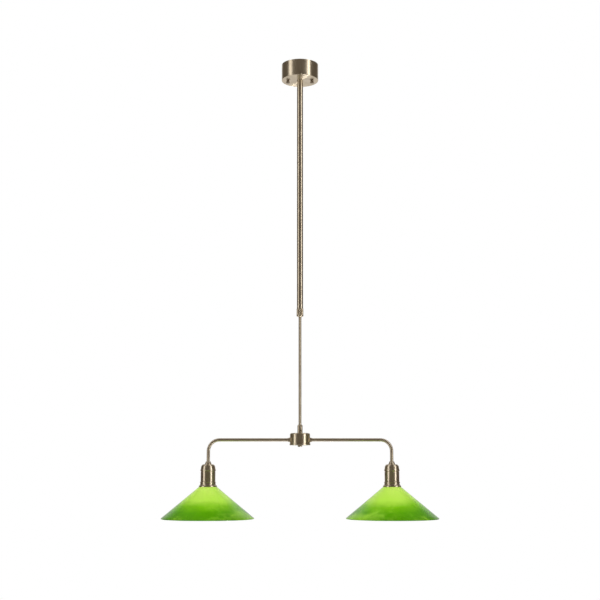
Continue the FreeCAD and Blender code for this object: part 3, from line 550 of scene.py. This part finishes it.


# Paler at the neck and deepest at the rim: partly the green layer's thickness, partly painted
# light from above.
GREEN_STOPS = (
    (0.0, (0.52, 0.76, 0.12)), (0.38, (0.42, 0.70, 0.07)), (0.58, (0.17, 0.45, 0.004)),
    (0.76, (0.085, 0.31, 0.0)), (1.0, (0.075, 0.25, 0.001)),
)
MILKY_STOPS = (
    (0.0, (0.94, 0.96, 0.86)), (0.5, (0.91, 0.95, 0.80)), (0.9, (0.84, 0.92, 0.68)),
    (1.0, (0.42, 0.62, 0.18)),
)

# %% [markdown]
# ## One finish for each kind of surface
#
# Each frame part names its kind of material. The table below makes one finish per kind and
# hangs it on the parts. The antique brass comes in three more versions: one for the parts on
# the lampholders' axes, one for the bent arms, and a smoother one for the drawn tubes.

# %% Finishes on the frame parts
finishes = {
    "antique_brass": antique_brass("antique_brass"),
    "knurled_brass": antique_brass("knurled_brass", roughness=0.28, stretch=0.0),
    "dark_brass": antique_brass("dark_brass", roughness=0.26, light=(0.30, 0.25, 0.19, 1),
                                brown=(0.20, 0.16, 0.12, 1)),
    "bare_brass": patchy_metal("bare_brass", (0.80, 0.62, 0.30, 1), (0.56, 0.40, 0.19, 1),
                               90.0, 0.26),
    "zinc_steel": patchy_metal("zinc_steel", (0.66, 0.67, 0.67, 1), (0.50, 0.51, 0.53, 1),
                               260.0, 0.36, crystals=True),
    "lamp_cap_aluminium": patchy_metal("lamp_cap_aluminium", (0.80, 0.80, 0.79, 1),
                                       (0.66, 0.66, 0.65, 1), 120.0, 0.25),
    "terminal_plastic": moulded("terminal_plastic", (0.80, 0.78, 0.71, 1),
                                (0.72, 0.70, 0.62, 1), 0.42, inner_glow=0.1),
    "nylon": moulded("nylon", (0.80, 0.79, 0.72, 1), (0.74, 0.72, 0.64, 1), 0.4,
                     inner_glow=0.25),
    "lead_sheath": moulded("lead_sheath", (0.035, 0.028, 0.024, 1), (0.055, 0.045, 0.038, 1),
                           0.5, depth=0.05 * MM),
    "core_insulation": core_insulation("core_insulation"),
    "silicone": moulded("silicone", (0.82, 0.82, 0.79, 1), (0.74, 0.74, 0.70, 1), 0.55,
                        inner_glow=0.3),
    "porcelain": moulded("porcelain", (0.88, 0.87, 0.82, 1), (0.80, 0.78, 0.72, 1), 0.35,
                         grain=500.0, coat=0.9),
    "green_glass": cased_glass("green_glass", GREEN_STOPS, (0.42, 0.74, 0.06), 0.45,
                               roughness=0.14, through=0.22),
    "opal_glass": moulded("opal_glass", (0.90, 0.89, 0.85, 1), (0.84, 0.82, 0.77, 1), 0.12,
                          grain=120.0, depth=0.02 * MM, coat=0.5, inner_glow=0.4),
}
milky_glass = cased_glass("milky_glass", MILKY_STOPS, (0.93, 0.97, 0.82), 0.35,
                          roughness=0.16, through=0.22)
holder_brass = antique_brass("antique_brass_holders", axis_x=SHADE_X)
arm_brass = drawn_brass("antique_brass_arms")
tube_brass = antique_brass("antique_brass_tubes", roughness=0.29, ring_depth=0.0012 * MM)

own_finish = {"arm_left": arm_brass, "arm_right": arm_brass, "holder_collars": holder_brass}
own_finish.update({tube: tube_brass for tube in ("upper_tube", "lower_tube", "inner_stem")})
for side in ("left", "right"):
    for piece in ("holder_cap_", "holder_body_", "shade_gallery_"):
        own_finish[piece + side] = holder_brass

slot_of = {row["node"]: row["material_slot"] for row in frame["record"]["subparts"]}
for name, part in frame["nodes"].items():
    finish = own_finish.get(name, finishes[slot_of[name]])
    for place in part.material_slots:
        place.material = finish
print(len(slot_of), "frame parts have their finishes")

# %% [markdown]
# ## Turning a piece by hand
#
# A turned piece is a circle that is pulled through its outline: extrude the ring to the next
# height, scale it to the next radius, and go on. A spin of a drawn outline would give the same
# shape, but with rings each step stays a plain number pair, and the rows that a knurl or a
# ripple needs later come for free. An outline either comes back to its start, as a hollow
# ring does, or ends on the axis, where the last ring is merged into a pole.

# %% Ring helpers
SEAM = 0.002 * MM


def clear_selection():
    if bpy.context.mode != "OBJECT":
        bpy.ops.object.mode_set(mode="OBJECT")
    bpy.ops.object.select_all(action="DESELECT")


def next_ring(axis_x, here, there):
    """Pulls the selected ring from one (radius, height) to the next."""
    rise = there[1] - here[1]
    bpy.ops.mesh.extrude_region_move(TRANSFORM_OT_translate={"value": (0, 0, rise)})
    if there[0] == 0:
        bpy.ops.mesh.merge(type="COLLAPSE")
        return
    grow = there[0] / here[0]
    bpy.ops.transform.resize(value=(grow, grow, 1), center_override=(axis_x, 0, there[1]))


def named(name):
    """Names the new piece and its mesh."""
    piece = bpy.context.object
    piece.name = name
    piece.data.name = name
    return piece


def turned(name, outline, axis_x=0.0, sides=64, hollow=True):
    """Pulls a circle through (radius, height) points. A piece that isn't hollow ends on the
    axis, and its first ring is filled."""
    clear_selection()
    start = outline[0]
    bpy.ops.mesh.primitive_circle_add(vertices=sides, radius=start[0],
                                      location=(axis_x, 0, start[1]))
    piece = named(name)
    bpy.ops.object.mode_set(mode="EDIT")
    bpy.ops.mesh.select_mode(type="EDGE")
    bpy.ops.mesh.select_all(action="SELECT")
    if not hollow:
        bpy.ops.mesh.edge_face_add()
        bpy.ops.mesh.select_all(action="DESELECT")
        bpy.ops.mesh.select_non_manifold()
    stops = outline[1:] + [start] if hollow else outline[1:]
    here = start
    for there in stops:
        next_ring(axis_x, here, there)
        here = there
    tidy_shell()
    bpy.ops.object.mode_set(mode="OBJECT")
    bpy.ops.object.transform_apply(location=True, rotation=True, scale=True)
    return piece


def tidy_shell():
    """Closes the seams and turns every face outwards. Edit mode."""
    bpy.ops.mesh.select_all(action="SELECT")
    bpy.ops.mesh.remove_doubles(threshold=SEAM)
    bpy.ops.mesh.normals_make_consistent(inside=False)


def only(piece):
    """Makes one piece the selected and active one."""
    clear_selection()
    piece.select_set(True)
    bpy.context.view_layer.objects.active = piece


def apply_modifier(piece, kind, **settings):
    only(piece)
    made = piece.modifiers.new(kind.lower(), kind)
    for key, value in settings.items():
        setattr(made, key, value)
    bpy.ops.object.modifier_apply(modifier=made.name)


def smooth(piece, degrees):
    """Smooths every edge that is blunter than the given angle."""
    only(piece)
    bpy.ops.object.shade_smooth_by_angle(angle=math.radians(degrees))


def off_axis(point, axis_x):
    """The distance of a point from an upright axis."""
    return math.hypot(point.x - axis_x, point.y)


def rows(high, low, count, radius):
    """Evenly spaced rings of one radius, from high to low."""
    return [(radius, high + (low - high) * step / count) for step in range(count + 1)]


SELECT_MODES = {"vertices": "VERT", "edges": "EDGE", "polygons": "FACE"}


def select_parts(piece, kind, test):
    """Selects the vertices, edges or faces that pass a test, and goes into edit mode."""
    only(piece)
    bpy.ops.object.mode_set(mode="EDIT")
    bpy.ops.mesh.select_mode(type=SELECT_MODES[kind])
    bpy.ops.mesh.select_all(action="DESELECT")
    bpy.ops.object.mode_set(mode="OBJECT")
    for part in getattr(piece.data, kind):
        part.select = test(part)
    bpy.ops.object.mode_set(mode="EDIT")


def hand_over(piece, body, slot, finish, *nodes):
    """Gives a finished piece its finish, its body and the frame parts that it stands for."""
    clear_selection()
    if not piece.data.materials:
        piece.data.materials.append(finish)
    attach(piece, body)
    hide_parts(*nodes)
    print(piece.name, "has", len(piece.data.polygons), "faces")


def copied(piece, name, shift):
    """A copy with its own mesh, moved along the bar."""
    only(piece)
    bpy.ops.object.duplicate()
    made = named(name)
    bpy.ops.transform.translate(value=(shift, 0, 0))
    bpy.ops.object.transform_apply(location=True, rotation=True, scale=True)
    return made


def hand_over_pair(right, axis_x, body, slot, finish, right_node, left_node=None):
    """Copies the right piece to the left, and hands both over. Most pairs are one frame part."""
    left = copied(right, right.name.replace("right", "left"), -2 * axis_x)
    hand_over(right, body, slot, finish, right_node)
    hand_over(left, body, slot, finish, left_node or right_node)


# %% [markdown]
# ## The knurled lock collar
#
# The collar at the end of the outer tube is tightened by hand, so it is knurled. Two sets of
# slanting grooves leave rows of small diamonds. They are modelled on a fine grid of squares:
# poking each square and taking the square's own edges away leaves a grid of diamonds, and
# poking those again with an offset raises each into a point. A bump texture would look flat
# at the outline of the collar, where the points show.

# %% Diamond knurl
KNURL_HEIGHT = 0.32 * MM
ON_WALL = 0.97
MARGIN = 0.02 * MM


def diamond_knurl(piece, axis_x, radius, high, low):
    """Raises diamonds on the faces of an upright wall between two heights."""
    data = piece.data

    def is_outside(point):
        return off_axis(point, axis_x) > radius * ON_WALL

    def is_inside_band(point):
        return low + MARGIN < point.z < high - MARGIN and is_outside(point)

    def on_wall(face):
        upright = abs(face.normal.z) < 0.1
        return low < face.center.z < high and upright and is_outside(face.center)

    select_parts(piece, "polygons", on_wall)
    bpy.ops.object.mode_set(mode="OBJECT")
    grid_points = len(data.vertices)
    bpy.ops.object.mode_set(mode="EDIT")
    bpy.ops.mesh.poke()
    bpy.ops.object.mode_set(mode="OBJECT")

    def is_grid_edge(edge):
        first, second = (data.vertices[index] for index in edge.vertices)
        return max(edge.vertices) < grid_points and is_inside_band((first.co + second.co) / 2)

    select_parts(piece, "edges", is_grid_edge)
    bpy.ops.mesh.dissolve_edges(use_verts=False)
    bpy.ops.object.mode_set(mode="OBJECT")

    def is_diamond(face):
        return len(face.vertices) == 4 and is_inside_band(face.center)

    select_parts(piece, "polygons", is_diamond)
    bpy.ops.mesh.poke(offset=KNURL_HEIGHT)
    bpy.ops.object.mode_set(mode="OBJECT")


# %% Lock collar
collar_low, collar_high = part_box("lock_collar")
COLLAR_RADIUS = collar_high.x
COLLAR_BORE = 7.0 * MM
STEM_HOLE = 4.4 * MM
COLLAR_FLOOR = 4.4 * MM
COLLAR_BAND_HIGH = collar_high.z - 1.8 * MM
COLLAR_BAND_LOW = collar_low.z + 4.6 * MM
COLLAR_COLUMNS = 60
ROUNDING = 3.0 * MM
ROUNDING_STEPS = 6
collar_valley = COLLAR_RADIUS - KNURL_HEIGHT
square = math.tau * COLLAR_RADIUS / COLLAR_COLUMNS
collar_rows = round((COLLAR_BAND_HIGH - COLLAR_BAND_LOW) / square)

collar_outline = [
    (COLLAR_BORE, collar_high.z), (COLLAR_RADIUS - 0.5 * MM, collar_high.z),
    (COLLAR_RADIUS, collar_high.z - 0.5 * MM), (COLLAR_RADIUS, COLLAR_BAND_HIGH + 0.4 * MM),
]
collar_outline += rows(COLLAR_BAND_HIGH, COLLAR_BAND_LOW, collar_rows, collar_valley)
collar_outline.append((COLLAR_RADIUS, COLLAR_BAND_LOW - 0.4 * MM))
for step in range(ROUNDING_STEPS + 1):
    turn = math.radians(90 * step / ROUNDING_STEPS)
    collar_outline.append((COLLAR_RADIUS - ROUNDING * (1 - math.cos(turn)),
                           collar_low.z + ROUNDING * (1 - math.sin(turn))))
collar_outline += [
    (STEM_HOLE + 0.5 * MM, collar_low.z), (STEM_HOLE, collar_low.z + 0.5 * MM),
    (STEM_HOLE, collar_low.z + COLLAR_FLOOR), (COLLAR_BORE, collar_low.z + COLLAR_FLOOR),
]
collar = turned("knurled_lock_collar", collar_outline, sides=COLLAR_COLUMNS)
diamond_knurl(collar, 0.0, collar_valley, COLLAR_BAND_HIGH, COLLAR_BAND_LOW)
smooth(collar, 22)
hand_over(collar, "lock_collar", "knurled_brass", finishes["knurled_brass"], "lock_collar")

# %% [markdown]
# ## The canopy's thumb nuts
#
# Two small nuts draw the canopy up against the ceiling. They are knurled straight, with a
# narrow neck above and a slightly domed end. Every second upright edge of the knurled band is
# scaled towards the nut's own axis, which leaves a row of teeth. The second nut is a copy of
# the first, moved to the other stud.

# %% Straight knurl
def pinch_edges(piece, axis_x, radius, high, low, sides, group, factor):
    """Draws the first half of each group of upright edges towards the axis."""
    margin = 0.01 * MM

    def is_pinched(point):
        on_band = low - margin < point.co.z < high + margin
        angle = math.atan2(point.co.y, point.co.x - axis_x)
        number = round(angle / math.tau * sides)
        outside = off_axis(point.co, axis_x) > radius * 0.98
        return on_band and outside and number % group < group / 2

    select_parts(piece, "vertices", is_pinched)
    bpy.ops.transform.resize(value=(factor, factor, 1), center_override=(axis_x, 0, 0))
    bpy.ops.object.mode_set(mode="OBJECT")
    smooth(piece, 24)


# %% Thumb nuts
nuts_low, nuts_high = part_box("canopy_nuts")
NUT_RADIUS = 5.0 * MM
NUT_NECK = 3.8 * MM
STUD_HOLE = 2.1 * MM
NUT_SIDES = 56
TOOTH = 0.93
nut_x = nuts_high.x - NUT_RADIUS
band_high = nuts_high.z - 3.1 * MM
band_low = nuts_low.z + 1.3 * MM

nut_outline = [
    (STUD_HOLE, nuts_low.z + 2.2 * MM), (STUD_HOLE, nuts_high.z), (NUT_NECK, nuts_high.z),
    (NUT_NECK, nuts_high.z - 1.6 * MM), (NUT_NECK + 0.3 * MM, nuts_high.z - 2.0 * MM),
    (NUT_RADIUS - 0.3 * MM, nuts_high.z - 2.5 * MM), (NUT_RADIUS, band_high + 0.2 * MM),
    (NUT_RADIUS, band_high), (NUT_RADIUS, band_low), (NUT_RADIUS - 0.2 * MM, band_low - 0.3 * MM),
    (NUT_RADIUS - 0.9 * MM, nuts_low.z + 0.3 * MM), (NUT_RADIUS * 0.5, nuts_low.z + 0.05 * MM),
    (0, nuts_low.z),
]
right_nut = turned("canopy_thumb_nut_right", nut_outline, nut_x, NUT_SIDES, hollow=False)
pinch_edges(right_nut, nut_x, NUT_RADIUS, band_high, band_low, NUT_SIDES, 2, TOOTH)
# The nuts take the darker brass, whose darker colour paints the dark reflections they show under
# the canopy.
hand_over_pair(right_nut, nut_x, "canopy", "knurled_brass", finishes["dark_brass"], "canopy_nuts")

# %% [markdown]
# ## The glass shades
#
# Each shade is a blown cone, 3 mm thick, with a ground hole at the top and a rim that was
# rounded in the fire. Hand-blown glass is never quite even: its wall swells and thins by a
# fraction of a millimetre, and that is what makes reflections on it swim. The cone is pulled
# ring by ring, outside and inside, and a displacement with soft clouds then moves the wall.
# The clouds are kept off the neck, where the glass sits in its metal ring. The faces that look
# down inside the cone get the milky finish, all but the rim.

# %% Glass shade
HOLE_RADIUS = 21.0 * MM
GLASS_NECK = 23.4 * MM
GLASS = 3.0 * MM
NECK_BEVEL = 0.8 * MM
CONE_DROP = 1.3 * MM
RIM_BAND = 2.0 * MM
SHADE_SIDES = 144
CONE_ROWS = 12
RIM_STEP = 20
SWELL = 0.7 * MM
SWELL_START = 34 * MM
SWELL_RAMP = 30 * MM
CLOUD_SIZE = 45 * MM


def shade_outline():
    """Outer wall down to the rim, round it, and up the inner wall."""
    half = GLASS / 2
    rim = Vector((SHADE_RADIUS - half, shade_low.z + half))
    neck = Vector((GLASS_NECK, shade_high.z - CONE_DROP))
    down = rim - neck
    tilt = math.atan2(-down.y, down.x) + math.asin(half / down.length)
    along = Vector((math.cos(tilt), -math.sin(tilt)))
    outward = Vector((math.sin(tilt), math.cos(tilt)))
    outer_end = rim + outward * half
    inner_end = rim - outward * half
    inner_start = neck - outward * GLASS + along * 0.5 * MM
    points = [(HOLE_RADIUS, shade_high.z), (GLASS_NECK - NECK_BEVEL, shade_high.z),
              (GLASS_NECK - 0.2 * MM, shade_high.z - 0.25 * MM),
              (GLASS_NECK, shade_high.z - NECK_BEVEL)]
    for step in range(CONE_ROWS + 1):
        points.append(tuple(neck.lerp(outer_end, step / CONE_ROWS)))
    for turn in range(RIM_STEP, 180, RIM_STEP):
        side = outward * math.cos(math.radians(turn)) + along * math.sin(math.radians(turn))
        points.append(tuple(rim + side * half))
    for step in range(CONE_ROWS + 1):
        points.append(tuple(inner_end.lerp(inner_start, step / CONE_ROWS)))
    points.append((HOLE_RADIUS, inner_start.y + 1.0 * MM))
    return points


right_shade = turned("cased_glass_shade_right", shade_outline(), SHADE_X, SHADE_SIDES)
free_wall = right_shade.vertex_groups.new(name="free_wall")
for point in right_shade.data.vertices:
    out = (off_axis(point.co, SHADE_X) - SWELL_START) / SWELL_RAMP
    free_wall.add([point.index], min(1.0, max(0.0, out)), "REPLACE")
clouds = bpy.data.textures.new("soft_clouds", "CLOUDS")
clouds.noise_scale = CLOUD_SIZE
apply_modifier(right_shade, "DISPLACE", texture=clouds, texture_coords="LOCAL", strength=SWELL,
               mid_level=0.5, vertex_group="free_wall")
right_shade.vertex_groups.clear()
right_shade.data.materials.append(finishes["green_glass"])
right_shade.data.materials.append(milky_glass)
for face in right_shade.data.polygons:
    inside_rim = off_axis(face.center, SHADE_X) < SHADE_RADIUS - RIM_BAND
    face.material_index = int(face.normal.z < -0.3 and inside_rim)
smooth(right_shade, 40)
hand_over_pair(right_shade, SHADE_X, "bar", "green_glass", finishes["green_glass"],
               "glass_shade_right", "glass_shade_left")

# %% [markdown]
# ## The bulbs
#
# The bulbs are opal globes of the golf-ball size. A sphere is cut off near its top with a
# bisecting plane, the cut edge is extruded up and drawn in to the neck, and a solidify
# modifier gives the thin wall. The neck ends inside the bulb's screw cap.

# %% Bulb glass
bulb_low, bulb_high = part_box("bulb_glass_right")
BULB_RADIUS = (bulb_high.x - bulb_low.x) / 2
BULB_NECK = 12.2 * MM
BULB_WALL = 0.9 * MM
CUT_RISE = 14.5 * MM
# The neck's radii and how far above the centre they are, in mm.
NECK_CURVE = ((15.2, 16.6), (13.9, 18.2), (12.9, 19.6), (12.35, 21.2))
bulb_centre = bulb_low.z + BULB_RADIUS
cut_z = bulb_centre + CUT_RISE

clear_selection()
bpy.ops.mesh.primitive_uv_sphere_add(segments=64, ring_count=40, radius=BULB_RADIUS,
                                     location=(SHADE_X, 0, bulb_centre))
right_bulb = named("opal_globe_right")
bpy.ops.object.mode_set(mode="EDIT")
bpy.ops.mesh.select_all(action="SELECT")
bpy.ops.mesh.bisect(plane_co=(SHADE_X, 0, cut_z), plane_no=(0, 0, 1), clear_outer=True)
bpy.ops.mesh.select_all(action="DESELECT")
bpy.ops.mesh.select_mode(type="EDGE")
bpy.ops.mesh.select_non_manifold()
here = (math.sqrt(BULB_RADIUS ** 2 - CUT_RISE ** 2), cut_z)
for radius, rise in NECK_CURVE:
    there = (radius * MM, bulb_centre + rise * MM)
    next_ring(SHADE_X, here, there)
    here = there
next_ring(SHADE_X, here, (BULB_NECK, bulb_high.z))
bpy.ops.object.mode_set(mode="OBJECT")
bpy.ops.object.transform_apply(location=True, rotation=True, scale=True)
apply_modifier(right_bulb, "SOLIDIFY", thickness=BULB_WALL, offset=-1.0)
smooth(right_bulb, 40)
hand_over_pair(right_bulb, SHADE_X, "bar", "opal_glass", finishes["opal_glass"],
               "bulb_glass_right", "bulb_glass_left")

# %% [markdown]
# ## The rings that clamp the shades
#
# A ring screws up the lampholder's skirt from inside and holds the glass. Its edge is notched
# so that fingers can turn it. Groups of upright edges are scaled inwards, as on the nuts, but
# two and two, which leaves broad ribs.

# %% Shade rings
rings_low, rings_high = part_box("shade_rings")
RING_RADIUS = rings_high.x - SHADE_X
RING_BORE = 19.65 * MM
RING_SIDES = 96
RIB_GROUP = 4
NOTCH = 0.962
notch_high = rings_high.z - 0.8 * MM
notch_low = rings_low.z + 1.2 * MM

ring_outline = [
    (RING_BORE, rings_high.z), (RING_RADIUS - 0.2 * MM, rings_high.z),
    (RING_RADIUS, rings_high.z - 0.3 * MM), (RING_RADIUS, notch_high), (RING_RADIUS, notch_low),
    (RING_RADIUS - 0.3 * MM, rings_low.z + 0.5 * MM), (RING_RADIUS - 1.0 * MM, rings_low.z),
    (RING_BORE + 0.4 * MM, rings_low.z), (RING_BORE, rings_low.z + 0.4 * MM),
]
right_ring = turned("notched_shade_ring_right", ring_outline, SHADE_X, RING_SIDES)
pinch_edges(right_ring, SHADE_X, RING_RADIUS, notch_high, notch_low, RING_SIDES, RIB_GROUP, NOTCH)
hand_over_pair(right_ring, SHADE_X, "bar", "zinc_steel", finishes["zinc_steel"], "shade_rings")

# %% [markdown]
# ## The spare lead inside the tube
#
# The stem slides, so the lead above it has spare length, which lies in loose turns inside the
# outer tube. It is a smooth curve through the points of a slack helix that narrows to the
# middle at both ends, with a round section, turned into a mesh. Its top stays with the canopy
# and its foot goes with the stem.

# %% Spare lead
slack_low, slack_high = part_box("slack_lead")
LEAD_RADIUS = slack_high.x
TURNS = 7
POINTS_PER_TURN = 8
TURN_RADIUS = 3.2 * MM
NARROW_ENDS = 1 / 6

lead_curve = bpy.data.curves.new("spare_lead", "CURVE")
lead_curve.dimensions = "3D"
lead_curve.bevel_depth = LEAD_RADIUS
lead_curve.bevel_resolution = 5
lead_curve.use_fill_caps = True
lead_line = lead_curve.splines.new("NURBS")
point_count = TURNS * POINTS_PER_TURN + 1
lead_line.points.add(point_count - 1)
for number, point in enumerate(lead_line.points):
    share = number / (point_count - 1)
    swing = TURN_RADIUS * min(1.0, share / NARROW_ENDS, (1 - share) / NARROW_ENDS)
    turn = math.tau * number / POINTS_PER_TURN
    fall = slack_high.z + (slack_low.z - slack_high.z) * share
    point.co = (swing * math.cos(turn), swing * math.sin(turn), fall, 1.0)
lead_line.order_u = 3
lead_line.use_endpoint_u = True
lead_line.resolution_u = 5
spare_lead = bpy.data.objects.new("spare_lead", lead_curve)
bpy.context.scene.collection.objects.link(spare_lead)
only(spare_lead)
bpy.ops.object.convert(target="MESH")
spare_lead = bpy.context.object
# The end caps come as separate faces, so their corners are merged with the tube's own.
bpy.ops.object.mode_set(mode="EDIT")
bpy.ops.mesh.select_all(action="SELECT")
bpy.ops.mesh.remove_doubles(threshold=SEAM)
bpy.ops.object.mode_set(mode="OBJECT")
smooth(spare_lead, 60)
spare_lead.data.materials.append(finishes["lead_sheath"])
clear_selection()
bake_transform(spare_lead)
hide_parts("slack_lead")
print("spare lead has", len(spare_lead.data.polygons), "faces")

# %% [markdown]
# ## Real screw threads
#
# The two studs in the canopy, the hollow nipple that carries the tube, and the bulb's cap and
# its sleeve are all threaded, and their threads can be seen from above or below. A thread is
# one tooth of its outline, swept round the axis while it climbs by one pitch each turn, which
# is what the screw modifier does. It leaves ragged ends, so the sweep starts one turn early,
# ends one turn late, and both ends are cut level. A machine thread has a pointed tooth, while
# the thread that is rolled into a bulb's cap is a soft wave.

# %% Screw thread helper
def screw_thread(name, axis_x, crest, depth, pitch, high, low, bends=2, wall=None, steps=24):
    """A thread on an upright axis. It is solid, or a tube with a wall of even thickness."""
    clear_selection()
    bpy.ops.mesh.primitive_plane_add(size=pitch)
    piece = named(name)
    bpy.ops.object.mode_set(mode="EDIT")
    bpy.ops.mesh.select_mode(type="VERT")
    bpy.ops.mesh.select_all(action="SELECT")
    bpy.ops.mesh.merge(type="CENTER")
    bpy.ops.transform.translate(value=(crest - depth, 0, low - pitch))
    before = 0.0
    for bend in range(1, bends + 1):
        rise = depth * (1 - math.cos(math.tau * bend / bends)) / 2
        bpy.ops.mesh.extrude_vertices_move(
            TRANSFORM_OT_translate={"value": (rise - before, 0, pitch / bends)})
        before = rise
    bpy.ops.object.mode_set(mode="OBJECT")
    turns = math.ceil((high - low) / pitch) + 2
    apply_modifier(piece, "SCREW", screw_offset=pitch, iterations=turns, steps=steps,
                   render_steps=steps, use_merge_vertices=True, merge_threshold=SEAM)
    for end, upwards in ((high, 1), (low, -1)):
        only(piece)
        bpy.ops.object.mode_set(mode="EDIT")
        bpy.ops.mesh.select_all(action="SELECT")
        bpy.ops.mesh.bisect(plane_co=(0, 0, end), plane_no=(0, 0, upwards), clear_outer=True,
                            use_fill=wall is None)
        tidy_shell()
        bpy.ops.object.mode_set(mode="OBJECT")
    if wall is not None:
        apply_modifier(piece, "SOLIDIFY", thickness=wall, offset=-1.0)
    only(piece)
    bpy.ops.transform.translate(value=(axis_x, 0, 0))
    bpy.ops.object.transform_apply(location=True, rotation=True, scale=True)
    smooth(piece, 28)
    return piece


# %% Studs and nipple
studs_low, studs_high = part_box("bracket_studs")
STUD_PITCH = 0.7 * MM
STUD_CREST = 1.98 * MM
STUD_DEPTH = 0.4 * MM
right_stud = screw_thread("threaded_stud_right", nut_x, STUD_CREST, STUD_DEPTH, STUD_PITCH,
                          studs_high.z, studs_low.z)
hand_over_pair(right_stud, nut_x, "canopy", "zinc_steel", finishes["zinc_steel"], "bracket_studs")

nipple_low, nipple_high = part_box("stem_nipple")
NIPPLE_PITCH = 1.0 * MM
NIPPLE_DEPTH = 0.55 * MM
NIPPLE_WALL = 0.9 * MM
nipple = screw_thread("threaded_tube_nipple", 0.0, nipple_high.x, NIPPLE_DEPTH, NIPPLE_PITCH,
                      nipple_high.z, nipple_low.z, wall=NIPPLE_WALL, steps=40)
hand_over(nipple, "canopy", "bare_brass", finishes["bare_brass"], "stem_nipple")

# %% Bulb caps and their sleeves
cap_low, cap_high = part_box("lamp_cap_right")
sleeves_low, sleeves_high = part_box("thread_sleeves")
BULB_PITCH = 3.62 * MM
CAP_RADIUS = cap_high.x - SHADE_X
CAP_DEPTH = 0.75 * MM
SLEEVE_CREST = sleeves_high.x - SHADE_X
SLEEVE_DEPTH = 0.45 * MM
SLEEVE_WALL = 0.25 * MM
thread_top = cap_high.z - 4.6 * MM

right_cap = screw_thread("bulb_cap_right", SHADE_X, CAP_RADIUS, CAP_DEPTH, BULB_PITCH,
                         thread_top, cap_low.z, bends=10, steps=48)
cap_roof = turned("bulb_cap_roof", [
    (CAP_RADIUS - CAP_DEPTH, thread_top - 0.5 * MM),
    (CAP_RADIUS - CAP_DEPTH, thread_top + 0.2 * MM),
    (CAP_RADIUS - 2.6 * MM, thread_top + 1.6 * MM), (6.6 * MM, cap_high.z - 1.2 * MM),
    (4.6 * MM, cap_high.z - 0.9 * MM), (4.4 * MM, cap_high.z - 0.25 * MM),
    (3.6 * MM, cap_high.z), (0, cap_high.z),
], SHADE_X, 48, hollow=False)
smooth(cap_roof, 24)
right_cap.select_set(True)
bpy.context.view_layer.objects.active = right_cap
bpy.ops.object.join()
hand_over_pair(right_cap, SHADE_X, "bar", "lamp_cap_aluminium", finishes["lamp_cap_aluminium"],
               "lamp_cap_right", "lamp_cap_left")

right_sleeve = screw_thread("bulb_thread_sleeve_right", SHADE_X, SLEEVE_CREST, SLEEVE_DEPTH,
                            BULB_PITCH, sleeves_high.z, sleeves_low.z, bends=10,
                            wall=SLEEVE_WALL, steps=48)
hand_over_pair(right_sleeve, SHADE_X, "bar", "bare_brass", finishes["bare_brass"],
               "thread_sleeves")
